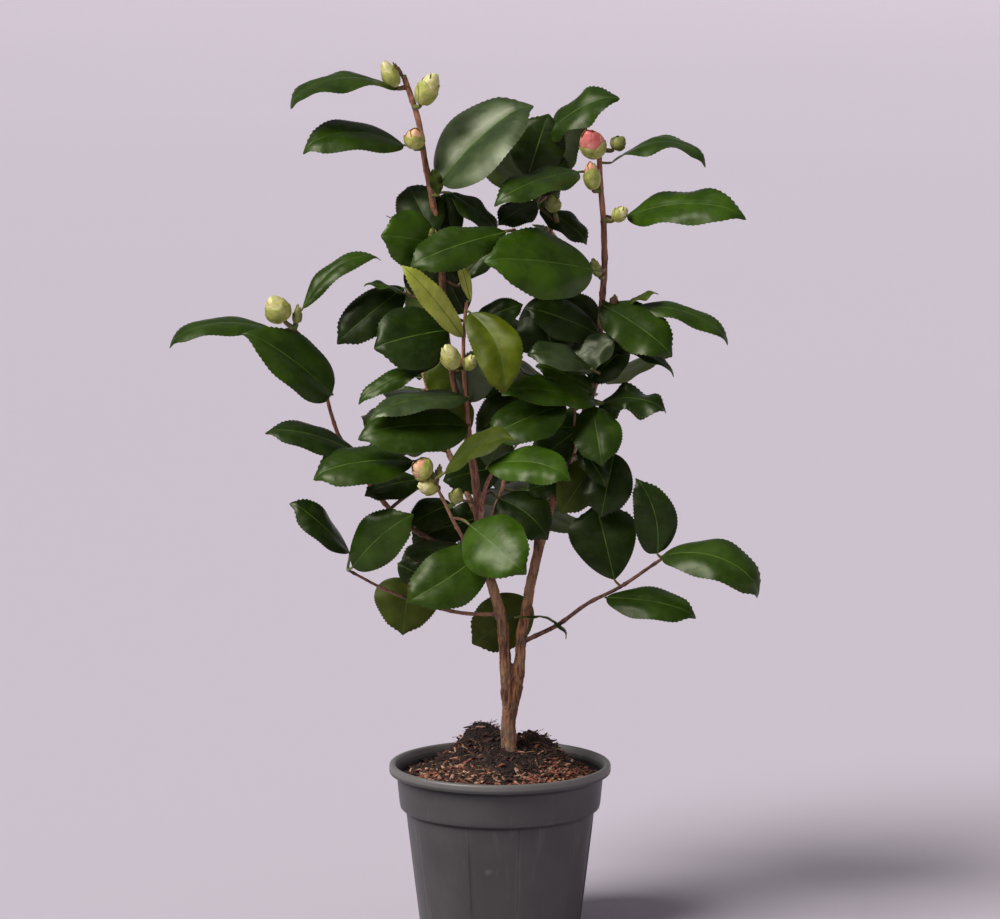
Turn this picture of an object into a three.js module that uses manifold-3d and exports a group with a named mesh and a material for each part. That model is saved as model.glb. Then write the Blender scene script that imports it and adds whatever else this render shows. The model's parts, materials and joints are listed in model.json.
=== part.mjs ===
// Potted camellia shrub: a nursery pot of soil, a fused trunk, its stems and boughs, and the masses of foliage
// that they carry. Millimetres, +Z up, the origin at the middle of the pot's flat underside, -Y the front.
import * as THREE from "three";
import { mergeVertices } from "three/addons/utils/BufferGeometryUtils.js";
import Module from "manifold-3d";

const wasm = await Module();
wasm.setup();

// Pot: a tapering wall, a wider collar and a rolled lip.
const POT_HEIGHT = 132;
const POT_SEGMENTS = 32;
const BASE_RADIUS = 61.4;
const BASE_CHAMFER = 1.6;
const WALL = 1.8;
const FLOOR = 2.4;
const SHOULDER_Z = 97;
const SHOULDER_RADIUS = 73;
const COLLAR_RADIUS = 77.2;
const COLLAR_RISE = 2.6;
const LIP_Z = 124.5;
const LIP_NECK_RADIUS = 79.4;
const LIP_RADIUS = 85.2;
const LIP_ROUND = 2;
const MOUTH_RADIUS = 80.4;
const DRAIN_COUNT = 6;
const DRAIN_RADIUS = 5;
const DRAIN_CIRCLE = 46;

// Soil: level at the edge, mounded round the trunk, with lumps of the old root ball behind it.
const SOIL_EDGE_Z = 121;
const SOIL_TOP_RINGS = 7;
const LUMPS = [
  { x: 8, y: -6, radius: 52, rise: 21 },
  { x: -14, y: 28, radius: 19, rise: 23 },
  { x: 28, y: 26, radius: 20, rise: 17 },
  { x: -28, y: 22, radius: 18, rise: 7 },
];

// Neighbouring solids stay this far apart.
const GAP = 0.4;
const LIMB_SIDES = 6;
const LIMB_STEP = 30;
const MASS_SIDES = 10;
const MASS_BANDS = 6;
const UNEVENNESS = 0.1;
const TIP_TAPER = 0.22;

const UP = [0, 0, 1];
const FRONT = [0, -1, 0];
const SLANT = [0, -0.7, 0.7];

// Limbs: the points that each one passes through, foot first, and its radius at the foot and at the tip.
// A limb's foot lies inside the one named by "on", which it is cut to fit.
const TRUNK_STRANDS = {
  main: { path: [[9, -7, 139], [7.4, -6, 164], [4.8, -5, 188], [4.8, -5, 204]], radii: [4.8, 4.9] },
  right: { path: [[8, -6, 156], [10, -5, 176], [13.8, -4, 190], [15, -4, 204]], radii: [3.4, 4.6] },
  rear: { path: [[3.6, 2, 143], [3.4, 1, 160], [5, -2, 180]], radii: [3.2, 3] },
};
const LIMBS = {
  stem_left: {
    path: [[4.8, -5, 204.4], [4, -5.5, 234], [-4, -6, 265], [-13, -7, 290], [-16, -8, 322], [-20, -6, 362]],
    radii: [4.8, 3.2],
  },
  stem_right: {
    path: [[15, -4, 204.4], [15.8, -4, 226], [22, -3, 262], [28, 0, 292], [42, 5, 338], [56, 10, 378]],
    radii: [4.5, 3.3],
  },
  leader_left: {
    path: [[-20.1, -6, 362.4], [-41, -2, 465], [-47, 4, 540], [-58, 8, 600], [-63, 10, 632], [-72, 12, 655]],
    radii: [3.2, 2.3],
  },
  leader_right: {
    path: [[56.3, 10.1, 378.4], [73, 14, 424], [76, 16, 465], [80, 18, 535], [77, 18, 570], [75, 17, 604]],
    radii: [3.4, 2.1],
  },
  leader_centre: {
    path: [[-16, -8, 318], [-19, -17, 357], [-26, -25, 415], [-28, -29, 454], [-25, -31, 489]],
    radii: [2.5, 1.4],
    on: "stem_left",
  },
  leader_back: {
    path: [[28, 0, 292], [31, 24, 330], [40, 44, 450], [38, 50, 540], [34, 48, 602]],
    radii: [3, 1.8],
    on: "stem_right",
  },
  arm_left: {
    path: [[-11, -7, 285], [-46, -14, 302], [-77, -18, 324], [-104, -20, 356], [-122, -22, 388]],
    radii: [2.4, 1.7],
    on: "stem_left",
  },
  arm_left_tip: {
    path: [[-122.3, -22, 388.5], [-131, -23, 415], [-134, -24, 445], [-154, -25, 468]],
    radii: [1.7, 1.3],
  },
  arm_low_left: {
    path: [[0, -6, 248], [-27, -12, 250], [-46, -16, 254], [-68, -22, 262], [-99, -30, 277], [-114, -32, 286]],
    radii: [1.7, 1.2],
    on: "stem_left",
  },
  arm_low_right: {
    path: [[17, -4, 226], [49, -16, 244], [64, -20, 254], [71, -21, 264], [84, -23, 268], [122, -28, 294]],
    radii: [2, 1.4],
    on: "stem_right",
  },
  bough_front: {
    path: [[-15, -8, 308], [-14, -42, 336], [-10, -74, 358], [-5, -98, 371]],
    radii: [2.4, 1.4],
    on: "stem_left",
  },
  bough_front_low: {
    path: [[-9, -7, 280], [-20, -34, 298], [-31, -52, 318], [-40, -59, 338], [-47, -60, 353]],
    radii: [2, 1.3],
    on: "stem_left",
  },
  bough_back_left: {
    path: [[-16, -8, 322], [-40, 40, 368], [-62, 96, 430], [-70, 132, 474]],
    radii: [2.7, 1.5],
    on: "stem_left",
  },
  bough_back_right: {
    path: [[42, 5, 338], [58, 50, 370], [72, 100, 420], [72, 132, 460]],
    radii: [2.7, 1.5],
    on: "stem_right",
  },
  bough_back_low: {
    path: [[-12, -7, 288], [-8, 46, 308], [2, 100, 334], [6, 142, 352]],
    radii: [2.5, 1.4],
    on: "stem_left",
  },
};

// Masses of foliage: each reaches from one end to the other, "wide" across the way that its leaves face
// and "deep" along it, and its middle is lifted where the leaves arch. Earlier masses keep their shape and
// later ones are cut round them, so the outermost come first.
const MASSES = {
  spray_left_buds: { from: [-89, 14, 659], to: [-50, 4, 660], wide: 24, deep: 26, lift: 0, face: UP },
  spray_left_top: { from: [-80, 12, 648], to: [-157, -6, 634], wide: 42, deep: 20, lift: 12, face: UP },
  spray_left_second: { from: [-64, 10, 606], to: [-152, -14, 594], wide: 46, deep: 20, lift: 12, face: UP },
  spray_left_broad: { from: [-44, -2, 576], to: [29, -20, 630], wide: 50, deep: 20, lift: 4, face: SLANT },
  spray_back_top: { from: [30, 46, 600], to: [94, 30, 640], wide: 40, deep: 24, lift: 4, face: UP },
  spray_right_buds: { from: [78, 20, 582], to: [72, 12, 626], wide: 30, deep: 30, lift: 0, face: FRONT },
  spray_right_top: { from: [86, 18, 598], to: [158, -4, 590], wide: 36, deep: 16, lift: 16, face: UP },
  spray_right_second: { from: [86, 18, 558], to: [190, -14, 553], wide: 42, deep: 18, lift: 6, face: UP },
  spray_right_inner: { from: [66, 10, 588], to: [-8, -34, 560], wide: 36, deep: 22, lift: 4, face: SLANT },
  spray_front_high: { from: [70, -10, 508], to: [-16, -58, 522], wide: 54, deep: 28, lift: 4, face: SLANT },
  spray_arm_tip: { from: [-176, -27, 462], to: [-255, -36, 449], wide: 36, deep: 18, lift: 12, face: UP },
  spray_arm_buds: { from: [-186, -30, 482], to: [-148, -20, 476], wide: 24, deep: 26, lift: 0, face: UP },
  spray_arm_rising: { from: [-150, -18, 474], to: [-93, -6, 522], wide: 30, deep: 18, lift: 8, face: UP },
  spray_arm_hanging: { from: [-130, -34, 414], to: [-203, -46, 462], wide: 44, deep: 20, lift: 2, face: SLANT },
  spray_arm_inner: { from: [-76, -34, 364], to: [-181, -42, 384], wide: 40, deep: 34, lift: 0, face: UP },
  spray_low_left_tip: { from: [-112, -36, 290], to: [-160, -42, 331], wide: 28, deep: 22, lift: 2, face: SLANT },
  spray_low_left: { from: [-110, -44, 284], to: [-64, -56, 324], wide: 42, deep: 24, lift: 2, face: SLANT },
  spray_low_front: { from: [-16, -80, 302], to: [-71, -98, 257], wide: 50, deep: 30, lift: 4, face: SLANT },
  spray_low_hanging: { from: [-48, -2, 262], to: [-94, 2, 234], wide: 36, deep: 24, lift: 0, face: FRONT },
  spray_low_back: { from: [29, 16, 242], to: [-27, 24, 238], wide: 40, deep: 20, lift: 0, face: FRONT },
  spray_low_curled: { from: [14, -18, 245], to: [52, -24, 228], wide: 14, deep: 12, lift: 4, face: UP },
  spray_low_right_up: { from: [120, -30, 296], to: [114, -24, 352], wide: 36, deep: 22, lift: 0, face: FRONT },
  spray_low_right_tip: { from: [126, -32, 288], to: [197, -44, 262], wide: 42, deep: 18, lift: 16, face: UP },
  spray_low_right: { from: [84, -28, 258], to: [151, -42, 247], wide: 36, deep: 20, lift: 8, face: UP },
  spray_right_middle: { from: [82, 10, 478], to: [177, -8, 462], wide: 42, deep: 36, lift: 0, face: UP },
  spray_right_lower: { from: [80, 8, 438], to: [134, -8, 422], wide: 40, deep: 44, lift: 0, face: UP },
  spray_right_low: { from: [70, 0, 396], to: [84, -10, 278], wide: 62, deep: 48, lift: 0, face: FRONT },
  spray_left_middle: { from: [-94, -12, 545], to: [2, 2, 547], wide: 64, deep: 56, lift: 0, face: FRONT },
  spray_back_upper: { from: [2, 30, 558], to: [66, 44, 572], wide: 54, deep: 44, lift: 0, face: FRONT },
  spray_left_side: { from: [-80, 4, 480], to: [-132, 0, 450], wide: 52, deep: 36, lift: 0, face: FRONT },
  spray_centre_left: { from: [-98, -20, 476], to: [-24, -12, 514], wide: 58, deep: 52, lift: 0, face: FRONT },
  spray_centre_young: { from: [-30, -44, 508], to: [4, -50, 418], wide: 56, deep: 36, lift: 0, face: FRONT },
  spray_centre_right: { from: [12, 0, 466], to: [86, 4, 464], wide: 56, deep: 60, lift: 0, face: FRONT },
  spray_left_lower: { from: [-24, -30, 412], to: [-110, -44, 394], wide: 60, deep: 44, lift: 0, face: FRONT },
  spray_centre_lower: { from: [-18, -48, 404], to: [78, -26, 414], wide: 56, deep: 56, lift: 0, face: FRONT },
  spray_front_middle: { from: [-36, -100, 330], to: [56, -106, 344], wide: 76, deep: 66, lift: 0, face: FRONT },
  spray_low_inner: { from: [-98, 0, 318], to: [-30, -14, 312], wide: 66, deep: 50, lift: 0, face: FRONT },
  spray_back_left: { from: [-30, 44, 384], to: [-82, 168, 490], wide: 88, deep: 66, lift: 0, face: UP },
  spray_back_right: { from: [50, 44, 376], to: [84, 168, 478], wide: 88, deep: 66, lift: 0, face: UP },
  spray_back_low: { from: [-12, 44, 320], to: [8, 182, 362], wide: 104, deep: 58, lift: 0, face: UP },
  spray_back_high: { from: [32, 84, 420], to: [30, 80, 600], wide: 96, deep: 60, lift: 0, face: FRONT },
};

const material = (colour, roughness) =>
  new THREE.MeshStandardMaterial({ color: colour, roughness, metalness: 0 });
const MATERIALS = {
  pot: material(0x57575a, 0.45),
  soil: material(0x32201a, 0.95),
  bark: material(0x7d5a41, 0.8),
  foliage: material(0x2d5020, 0.35),
};

// A closed geometry as a solid that can be cut and joined.
function solidOf(geometry) {
  const bare = geometry.index ? geometry.toNonIndexed() : geometry.clone();
  bare.deleteAttribute("normal");
  bare.deleteAttribute("uv");
  const merged = mergeVertices(bare, 1e-3);
  const solid = new wasm.Manifold(
    new wasm.Mesh({
      numProp: 3,
      vertProperties: merged.attributes.position.array,
      triVerts: new Uint32Array(merged.index.array),
    }),
  );
  if (solid.volume() <= 0) throw new Error("a geometry faces inwards");
  return solid;
}

// The largest piece of a solid that a cut has parted.
function largestPiece(solid) {
  return solid.decompose().reduce((best, piece) => (piece.volume() > best.volume() ? piece : best));
}

function meshOf(name, solid, surface) {
  const { vertProperties, triVerts } = solid.getMesh();
  const geometry = new THREE.BufferGeometry();
  geometry.setAttribute("position", new THREE.BufferAttribute(vertProperties, 3));
  geometry.setIndex(new THREE.BufferAttribute(triVerts, 1));
  const mesh = new THREE.Mesh(geometry, surface);
  mesh.name = name;
  return mesh;
}

// A body turned about the Z axis from [radius, height] pairs, listed so that its faces point out.
function turned(profile) {
  const points = profile.map(([radius, height]) => new THREE.Vector2(radius, height));
  return new THREE.LatheGeometry(points, POT_SEGMENTS).rotateX(Math.PI / 2);
}

function potSolid() {
  const shell = solidOf(
    turned([
      [0, 0],
      [BASE_RADIUS - BASE_CHAMFER, 0],
      [BASE_RADIUS, BASE_CHAMFER],
      [SHOULDER_RADIUS, SHOULDER_Z],
      [COLLAR_RADIUS, SHOULDER_Z + COLLAR_RISE],
      [LIP_NECK_RADIUS, LIP_Z],
      [LIP_RADIUS, LIP_Z + LIP_ROUND],
      [LIP_RADIUS, POT_HEIGHT - LIP_ROUND],
      [LIP_RADIUS - LIP_ROUND, POT_HEIGHT],
      [MOUTH_RADIUS, POT_HEIGHT - 1],
      [LIP_NECK_RADIUS - WALL, LIP_Z],
      [COLLAR_RADIUS - WALL, SHOULDER_Z + COLLAR_RISE],
      [SHOULDER_RADIUS - WALL, SHOULDER_Z],
      [BASE_RADIUS - WALL, FLOOR],
      [0, FLOOR],
    ]),
  );
  const drill = new THREE.CylinderGeometry(DRAIN_RADIUS, DRAIN_RADIUS, 4 * FLOOR, 8).rotateX(Math.PI / 2);
  let pot = shell;
  for (let i = 0; i < DRAIN_COUNT; i++) {
    const turn = (2 * Math.PI * (i + 0.5)) / DRAIN_COUNT;
    const hole = drill.clone().translate(DRAIN_CIRCLE * Math.cos(turn), DRAIN_CIRCLE * Math.sin(turn), 0);
    pot = pot.subtract(solidOf(hole));
  }
  return pot;
}

// Height of the soil's surface, a sum of smooth lumps that fade out before the pot's wall.
function soilHeight(x, y, edgeRadius) {
  const fade = 1 - (Math.hypot(x, y) / edgeRadius) ** 6;
  const rise = LUMPS.reduce((sum, lump) => {
    const away = Math.hypot(x - lump.x, y - lump.y) / lump.radius;
    return sum + lump.rise * Math.exp(-away * away);
  }, 0);
  return SOIL_EDGE_Z + rise * fade;
}

function soilSolid() {
  const inside = WALL + GAP;
  const slope = (LIP_NECK_RADIUS - COLLAR_RADIUS) / (LIP_Z - SHOULDER_Z - COLLAR_RISE);
  const edgeRadius = COLLAR_RADIUS + slope * (SOIL_EDGE_Z - SHOULDER_Z - COLLAR_RISE) - inside;
  const rings = Array.from({ length: SOIL_TOP_RINGS }, (_, i) => [
    edgeRadius * (1 - i / SOIL_TOP_RINGS),
    SOIL_EDGE_Z,
  ]);
  const body = turned([
    [0, FLOOR + GAP],
    [BASE_RADIUS - inside - 0.1, FLOOR + GAP],
    [SHOULDER_RADIUS - inside, SHOULDER_Z],
    [COLLAR_RADIUS - inside, SHOULDER_Z + COLLAR_RISE + 0.2],
    ...rings,
    [0, SOIL_EDGE_Z],
  ]);
  const place = body.attributes.position;
  for (let i = 0; i < place.count; i++)
    if (place.getZ(i) > SOIL_EDGE_Z - 0.01)
      place.setZ(i, soilHeight(place.getX(i), place.getY(i), edgeRadius));
  return solidOf(body);
}

// A tapering limb: a cylinder bent along a smooth curve, and grown all round where it serves as a cutter.
function limbSolid({ path, radii: [foot, tip] }, grow = 0) {
  const curve = new THREE.CatmullRomCurve3(path.map((point) => new THREE.Vector3(...point)), false, "centripetal");
  const steps = Math.max(3, Math.round(curve.getLength() / LIMB_STEP));
  const frames = curve.computeFrenetFrames(steps, false);
  const tube = new THREE.CylinderGeometry(tip + grow, foot + grow, 1, LIMB_SIDES, steps);
  const place = tube.attributes.position;
  for (let i = 0; i < place.count; i++) {
    const along = place.getY(i) + 0.5;
    const ring = Math.round(along * steps);
    const spot = curve
      .getPointAt(along)
      .addScaledVector(frames.normals[ring], place.getX(i))
      .addScaledVector(frames.binormals[ring], -place.getZ(i))
      .addScaledVector(frames.tangents[ring], Math.sign(along - 0.5) * grow * (along % 1 === 0 ? 1 : 0));
    place.setXYZ(i, spot.x, spot.y, spot.z);
  }
  return solidOf(tube);
}

const joined = (solids) => solids.reduce((whole, solid) => whole.add(solid));

// The trunk: strands that have grown together, levelled off at the foot and where it parts into its stems.
function trunkSolid(grow = 0) {
  const strands = joined(Object.values(TRUNK_STRANDS).map((strand) => limbSolid(strand, grow)));
  const foot = TRUNK_STRANDS.main.path[0][2] - grow;
  const top = TRUNK_STRANDS.main.path.at(-1)[2] + grow;
  const block = new THREE.BoxGeometry(80, 80, top - foot).translate(0, 0, (top + foot) / 2);
  return strands.intersect(solidOf(block));
}

// An uneven closed solid stretched from one end to the other, narrower at its far end.
function massSolid({ from, to, wide, deep, lift, face }, seed, grow = 0) {
  const start = new THREE.Vector3(...from);
  const reach = new THREE.Vector3(...to).sub(start);
  const middle = start.clone().addScaledVector(reach, 0.5);
  const along = reach.clone().normalize();
  const across = new THREE.Vector3(...face).cross(along).normalize();
  const outward = along.clone().cross(across);
  const blob = new THREE.SphereGeometry(1, MASS_SIDES, MASS_BANDS).rotateZ(-Math.PI / 2);
  const place = blob.attributes.position;
  for (let i = 0; i < place.count; i++) {
    const [u, v, w] = [place.getX(i), place.getY(i), place.getZ(i)];
    const lobes = 1 + UNEVENNESS * (Math.sin(4 * u + seed) + Math.cos(3 * v - 2 * w + 2 * seed));
    const narrow = 1 - TIP_TAPER * u;
    const spot = middle
      .clone()
      .addScaledVector(along, u * (reach.length() / 2 + grow))
      .addScaledVector(across, v * ((wide / 2) * lobes * narrow + grow))
      .addScaledVector(outward, w * ((deep / 2) * lobes + grow) + lift * (1 - u * u));
    place.setXYZ(i, spot.x, spot.y, spot.z);
  }
  return solidOf(blob);
}

const shrub = new THREE.Group();
const trunkCutter = trunkSolid(GAP);
shrub.add(meshOf("pot", potSolid(), MATERIALS.pot));
shrub.add(meshOf("soil", largestPiece(soilSolid().subtract(trunkCutter)), MATERIALS.soil));
shrub.add(meshOf("trunk", trunkSolid(), MATERIALS.bark));

const limbCutters = [trunkCutter];
for (const [name, limb] of Object.entries(LIMBS)) {
  const whole = limbSolid(limb);
  const cut = limb.on ? largestPiece(whole.subtract(limbSolid(LIMBS[limb.on], GAP))) : whole;
  shrub.add(meshOf(name, cut, MATERIALS.bark));
  limbCutters.push(limbSolid(limb, GAP));
}

let taken = joined(limbCutters);
Object.entries(MASSES).forEach(([name, mass], seed) => {
  const piece = largestPiece(massSolid(mass, seed).subtract(taken));
  shrub.add(meshOf(name, piece, MATERIALS.foliage));
  taken = taken.add(massSolid(mass, seed, GAP));
});

export default shrub;
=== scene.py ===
# %% [markdown]
# # A young camellia in its nursery pot
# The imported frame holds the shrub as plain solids: the pot, the soil, a trunk with its stems and boughs, and
# one rough lump for every spray of foliage. This lesson dresses them. Limbs get bark, lumps become leaves and
# buds on stalks, the soil gets its mulch, and the pot becomes moulded plastic. The frame comes first, because
# every later step asks it where things are.

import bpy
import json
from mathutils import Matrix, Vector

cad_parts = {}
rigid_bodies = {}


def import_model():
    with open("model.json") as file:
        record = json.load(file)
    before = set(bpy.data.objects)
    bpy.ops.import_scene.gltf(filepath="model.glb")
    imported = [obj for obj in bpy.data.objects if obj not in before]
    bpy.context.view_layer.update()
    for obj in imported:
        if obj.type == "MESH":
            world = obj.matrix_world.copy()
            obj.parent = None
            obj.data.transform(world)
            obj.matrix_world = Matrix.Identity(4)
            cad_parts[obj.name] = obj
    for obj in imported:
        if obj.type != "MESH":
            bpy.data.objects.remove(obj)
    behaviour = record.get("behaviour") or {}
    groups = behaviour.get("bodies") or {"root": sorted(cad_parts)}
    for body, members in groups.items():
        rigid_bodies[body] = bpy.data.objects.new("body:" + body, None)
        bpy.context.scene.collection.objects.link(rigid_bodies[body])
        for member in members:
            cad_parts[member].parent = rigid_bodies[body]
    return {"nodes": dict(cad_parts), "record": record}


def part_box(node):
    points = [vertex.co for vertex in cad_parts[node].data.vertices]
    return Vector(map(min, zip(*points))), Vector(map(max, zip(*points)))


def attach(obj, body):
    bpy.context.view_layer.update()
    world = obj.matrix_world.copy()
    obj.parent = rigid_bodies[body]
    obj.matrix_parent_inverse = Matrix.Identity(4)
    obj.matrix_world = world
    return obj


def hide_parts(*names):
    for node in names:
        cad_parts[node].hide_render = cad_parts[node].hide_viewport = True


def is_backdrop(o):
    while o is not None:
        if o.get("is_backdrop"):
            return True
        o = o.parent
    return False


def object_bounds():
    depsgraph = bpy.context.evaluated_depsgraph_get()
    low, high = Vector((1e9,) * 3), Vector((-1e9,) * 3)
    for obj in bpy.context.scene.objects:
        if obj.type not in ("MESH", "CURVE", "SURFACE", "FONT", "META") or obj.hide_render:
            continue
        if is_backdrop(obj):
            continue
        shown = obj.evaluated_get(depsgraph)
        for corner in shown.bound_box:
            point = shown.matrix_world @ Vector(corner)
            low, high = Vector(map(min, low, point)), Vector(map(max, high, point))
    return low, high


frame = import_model()
cad_box = [list(corner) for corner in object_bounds()]

import json
import math
import random
from dataclasses import dataclass, replace

import bmesh
import bpy
import numpy as np
from mathutils import Vector, kdtree, noise
from mathutils.bvhtree import BVHTree

MM = 0.001
SLOT = {entry["node"]: entry["material_slot"] for entry in frame["record"]["subparts"]}
LIMBS = [name for name, slot in SLOT.items() if slot == "bark"]
SPRAYS = [name for name, slot in SLOT.items() if slot == "foliage"]
print("limbs", len(LIMBS), "sprays", len(SPRAYS), "box", cad_box)

# %% [markdown]
# ## Words used throughout
# A few short helpers save writing the same lines again. link and mesh_of make objects and meshes. unit,
# ways_along, sampled and ramp do small sums on arrays of numbers. circle places a ring of points, and bands and
# disc join such rings with faces, for a wall and for a flat top.


# %% Helpers
def link(name, data):
    """A new object in the scene, at the origin."""
    made = bpy.data.objects.new(name, data)
    bpy.context.scene.collection.objects.link(made)
    return made


def mesh_of(name, places, faces):
    mesh = bpy.data.meshes.new(name)
    mesh.from_pydata(places, [], faces)
    return mesh


def unit(vectors):
    return vectors / np.linalg.norm(vectors, axis=-1, keepdims=True)


def ways_along(line):
    """The direction of a line at each of its points."""
    return unit(np.gradient(line, axis=0))


def sampled(stations, known, columns):
    """Rows of values read off at stations, given the rows at known ones."""
    return np.stack([np.interp(stations, known, column) for column in columns.T], axis=-1)


def circle(radius, height, sides):
    """Points evenly round the upright axis."""
    turns = [2 * math.pi * k / sides for k in range(sides)]
    return [(radius * math.cos(turn), radius * math.sin(turn), height) for turn in turns]


def bands(rings, sides):
    """Quads between rings of points that follow one another in a mesh. They face out where the rings go up."""
    faces = []
    for low in range(0, (rings - 1) * sides, sides):
        for k in range(sides):
            after = (k + 1) % sides
            faces.append((low + k, low + after, low + sides + after, low + sides + k))
    return faces


def disc(rings, sides, centre, first=0):
    """Faces from a centre point out through rings that start at the first point. They face up."""
    faces = []
    for k in range(sides):
        after = (k + 1) % sides
        faces.append((centre, first + k, first + after))
        for low in range(first, first + (rings - 1) * sides, sides):
            faces.append((low + k, low + sides + k, low + sides + after, low + after))
    return faces


def ramp(values, low, high):
    """Rises smoothly from 0 to 1 as the values go from low to high."""
    share = np.clip((values - low) / (high - low), 0, 1)
    return share * share * (3 - 2 * share)


print("helpers ready")

# %% [markdown]
# ## The camera
# A long lens from about three metres looks slightly down on the plant, as a product is usually shown. The lens
# and its sensor are in millimetres, as on a real camera. There is no shift and no blur.

# %% Camera
CAMERA_HEIGHT = 0.7082
CAMERA_DISTANCE = 2.7194
CAMERA_TILT = math.radians(7.16)
LENS = 129.6
SENSOR = 36.0

camera = link("camera", bpy.data.cameras.new("camera"))
camera.data.lens = LENS
camera.data.sensor_width = SENSOR
camera.location = (0.0, -CAMERA_DISTANCE, CAMERA_HEIGHT)
camera.rotation_euler = (math.pi / 2 - CAMERA_TILT, 0.0, 0.0)
bpy.context.scene.camera = camera
print("camera at", tuple(round(v, 3) for v in camera.location))

# %% [markdown]
# ## Writing materials as sums
# A node tree is hard to read, and a sum is easy. One small class wraps a socket, and each Python operator on it
# adds the Math node that does the same. Everything else comes from one method, which sets a node's settings
# first and its sockets after. The same class builds the Geometry Nodes trees further down.


# %% Fields
class Field:
    """A socket of a node tree that Python arithmetic works on."""

    def __init__(self, tree, socket):
        self.tree = tree
        self.socket = socket

    def node(self, kind, settings=None, output=0, **inputs):
        """Adds a node. Inputs go by name, with _ for a space, or by number as i0, i1 and so on."""
        made = self.tree.nodes.new(kind)
        for name, setting in (settings or {}).items():
            setattr(made, name, setting)
        for name, value in inputs.items():
            key = int(name[1:]) if name[1:].isdigit() else name.replace("_", " ")
            put(self.tree, made.inputs[key], value)
        return Field(self.tree, made.outputs[output])

    def math(self, operation, first, second=0.0):
        return self.node("ShaderNodeMath", {"operation": operation}, i0=first, i1=second)

    def within(self, low, high):
        """Rises from 0 to 1 as the value goes from low to high."""
        return self.node("ShaderNodeMapRange", {"interpolation_type": "SMOOTHSTEP"}, i0=self, i1=low, i2=high)

    def coordinate(self, number):
        return self.node("ShaderNodeSeparateXYZ", Vector=self, output=number)

    def stretched(self, x, y, z):
        return self.node("ShaderNodeVectorMath", {"operation": "MULTIPLY"}, i0=self, i1=(x, y, z))

    def clouds(self, scale, detail=3.0):
        return self.node("ShaderNodeTexNoise", Vector=self, Scale=scale, Detail=detail, Roughness=0.55)

    def cells(self, scale):
        return self.node("ShaderNodeTexVoronoi", {"feature": "F1"}, Vector=self, Scale=scale)

    def between(self, first, second):
        """Mixes two colours by this value."""
        return self.node("ShaderNodeMix", {"data_type": "RGBA"}, output=2, i0=self, i6=first, i7=second)

    def bump(self, distance, strength):
        return self.node("ShaderNodeBump", Height=self, Distance=distance, Strength=strength)


for word, operation in (("add", "ADD"), ("sub", "SUBTRACT"), ("mul", "MULTIPLY")):
    setattr(Field, f"__{word}__", lambda self, other, kind=operation: self.math(kind, self, other))
    setattr(Field, f"__r{word}__", lambda self, other, kind=operation: self.math(kind, other, self))


def put(tree, socket, value):
    if isinstance(value, Field):
        tree.links.new(value.socket, socket)
    else:
        socket.default_value = value


def srgb(red, green, blue):
    """A colour given in the 0 to 255 steps of a screen, as the linear values that shaders use."""
    steps = [value / 255 for value in (red, green, blue)]
    return tuple(s / 12.92 if s <= 0.04045 else ((s + 0.055) / 1.055) ** 2.4 for s in steps) + (1.0,)


def surface(name, paint, **fixed):
    """A material: fixed values go on the shader's own sockets, and paint returns what varies."""
    material = bpy.data.materials.new(name)
    material.use_nodes = True
    tree = material.node_tree
    shader = tree.nodes["Principled BSDF"]
    for socket, value in fixed.items():
        shader.inputs[socket.replace("_", " ")].default_value = value
    place = Field(tree, tree.nodes.new("ShaderNodeTexCoord").outputs["Object"])
    for socket, field in paint(place).items():
        put(tree, shader.inputs[socket], field)
    return material


print("field helpers ready")

# %% [markdown]
# ## Closed shells and tubes
# Leaves, bud scales and petals are all thin skins with a top, an underside and a narrow rim, and twigs and
# stalks are tubes. Surfaces without thickness would look the same from afar, but they leave holes in a printed
# or simulated mesh. So one builder gathers closed shells and closed tubes, and makes them one joined mesh.


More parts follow.
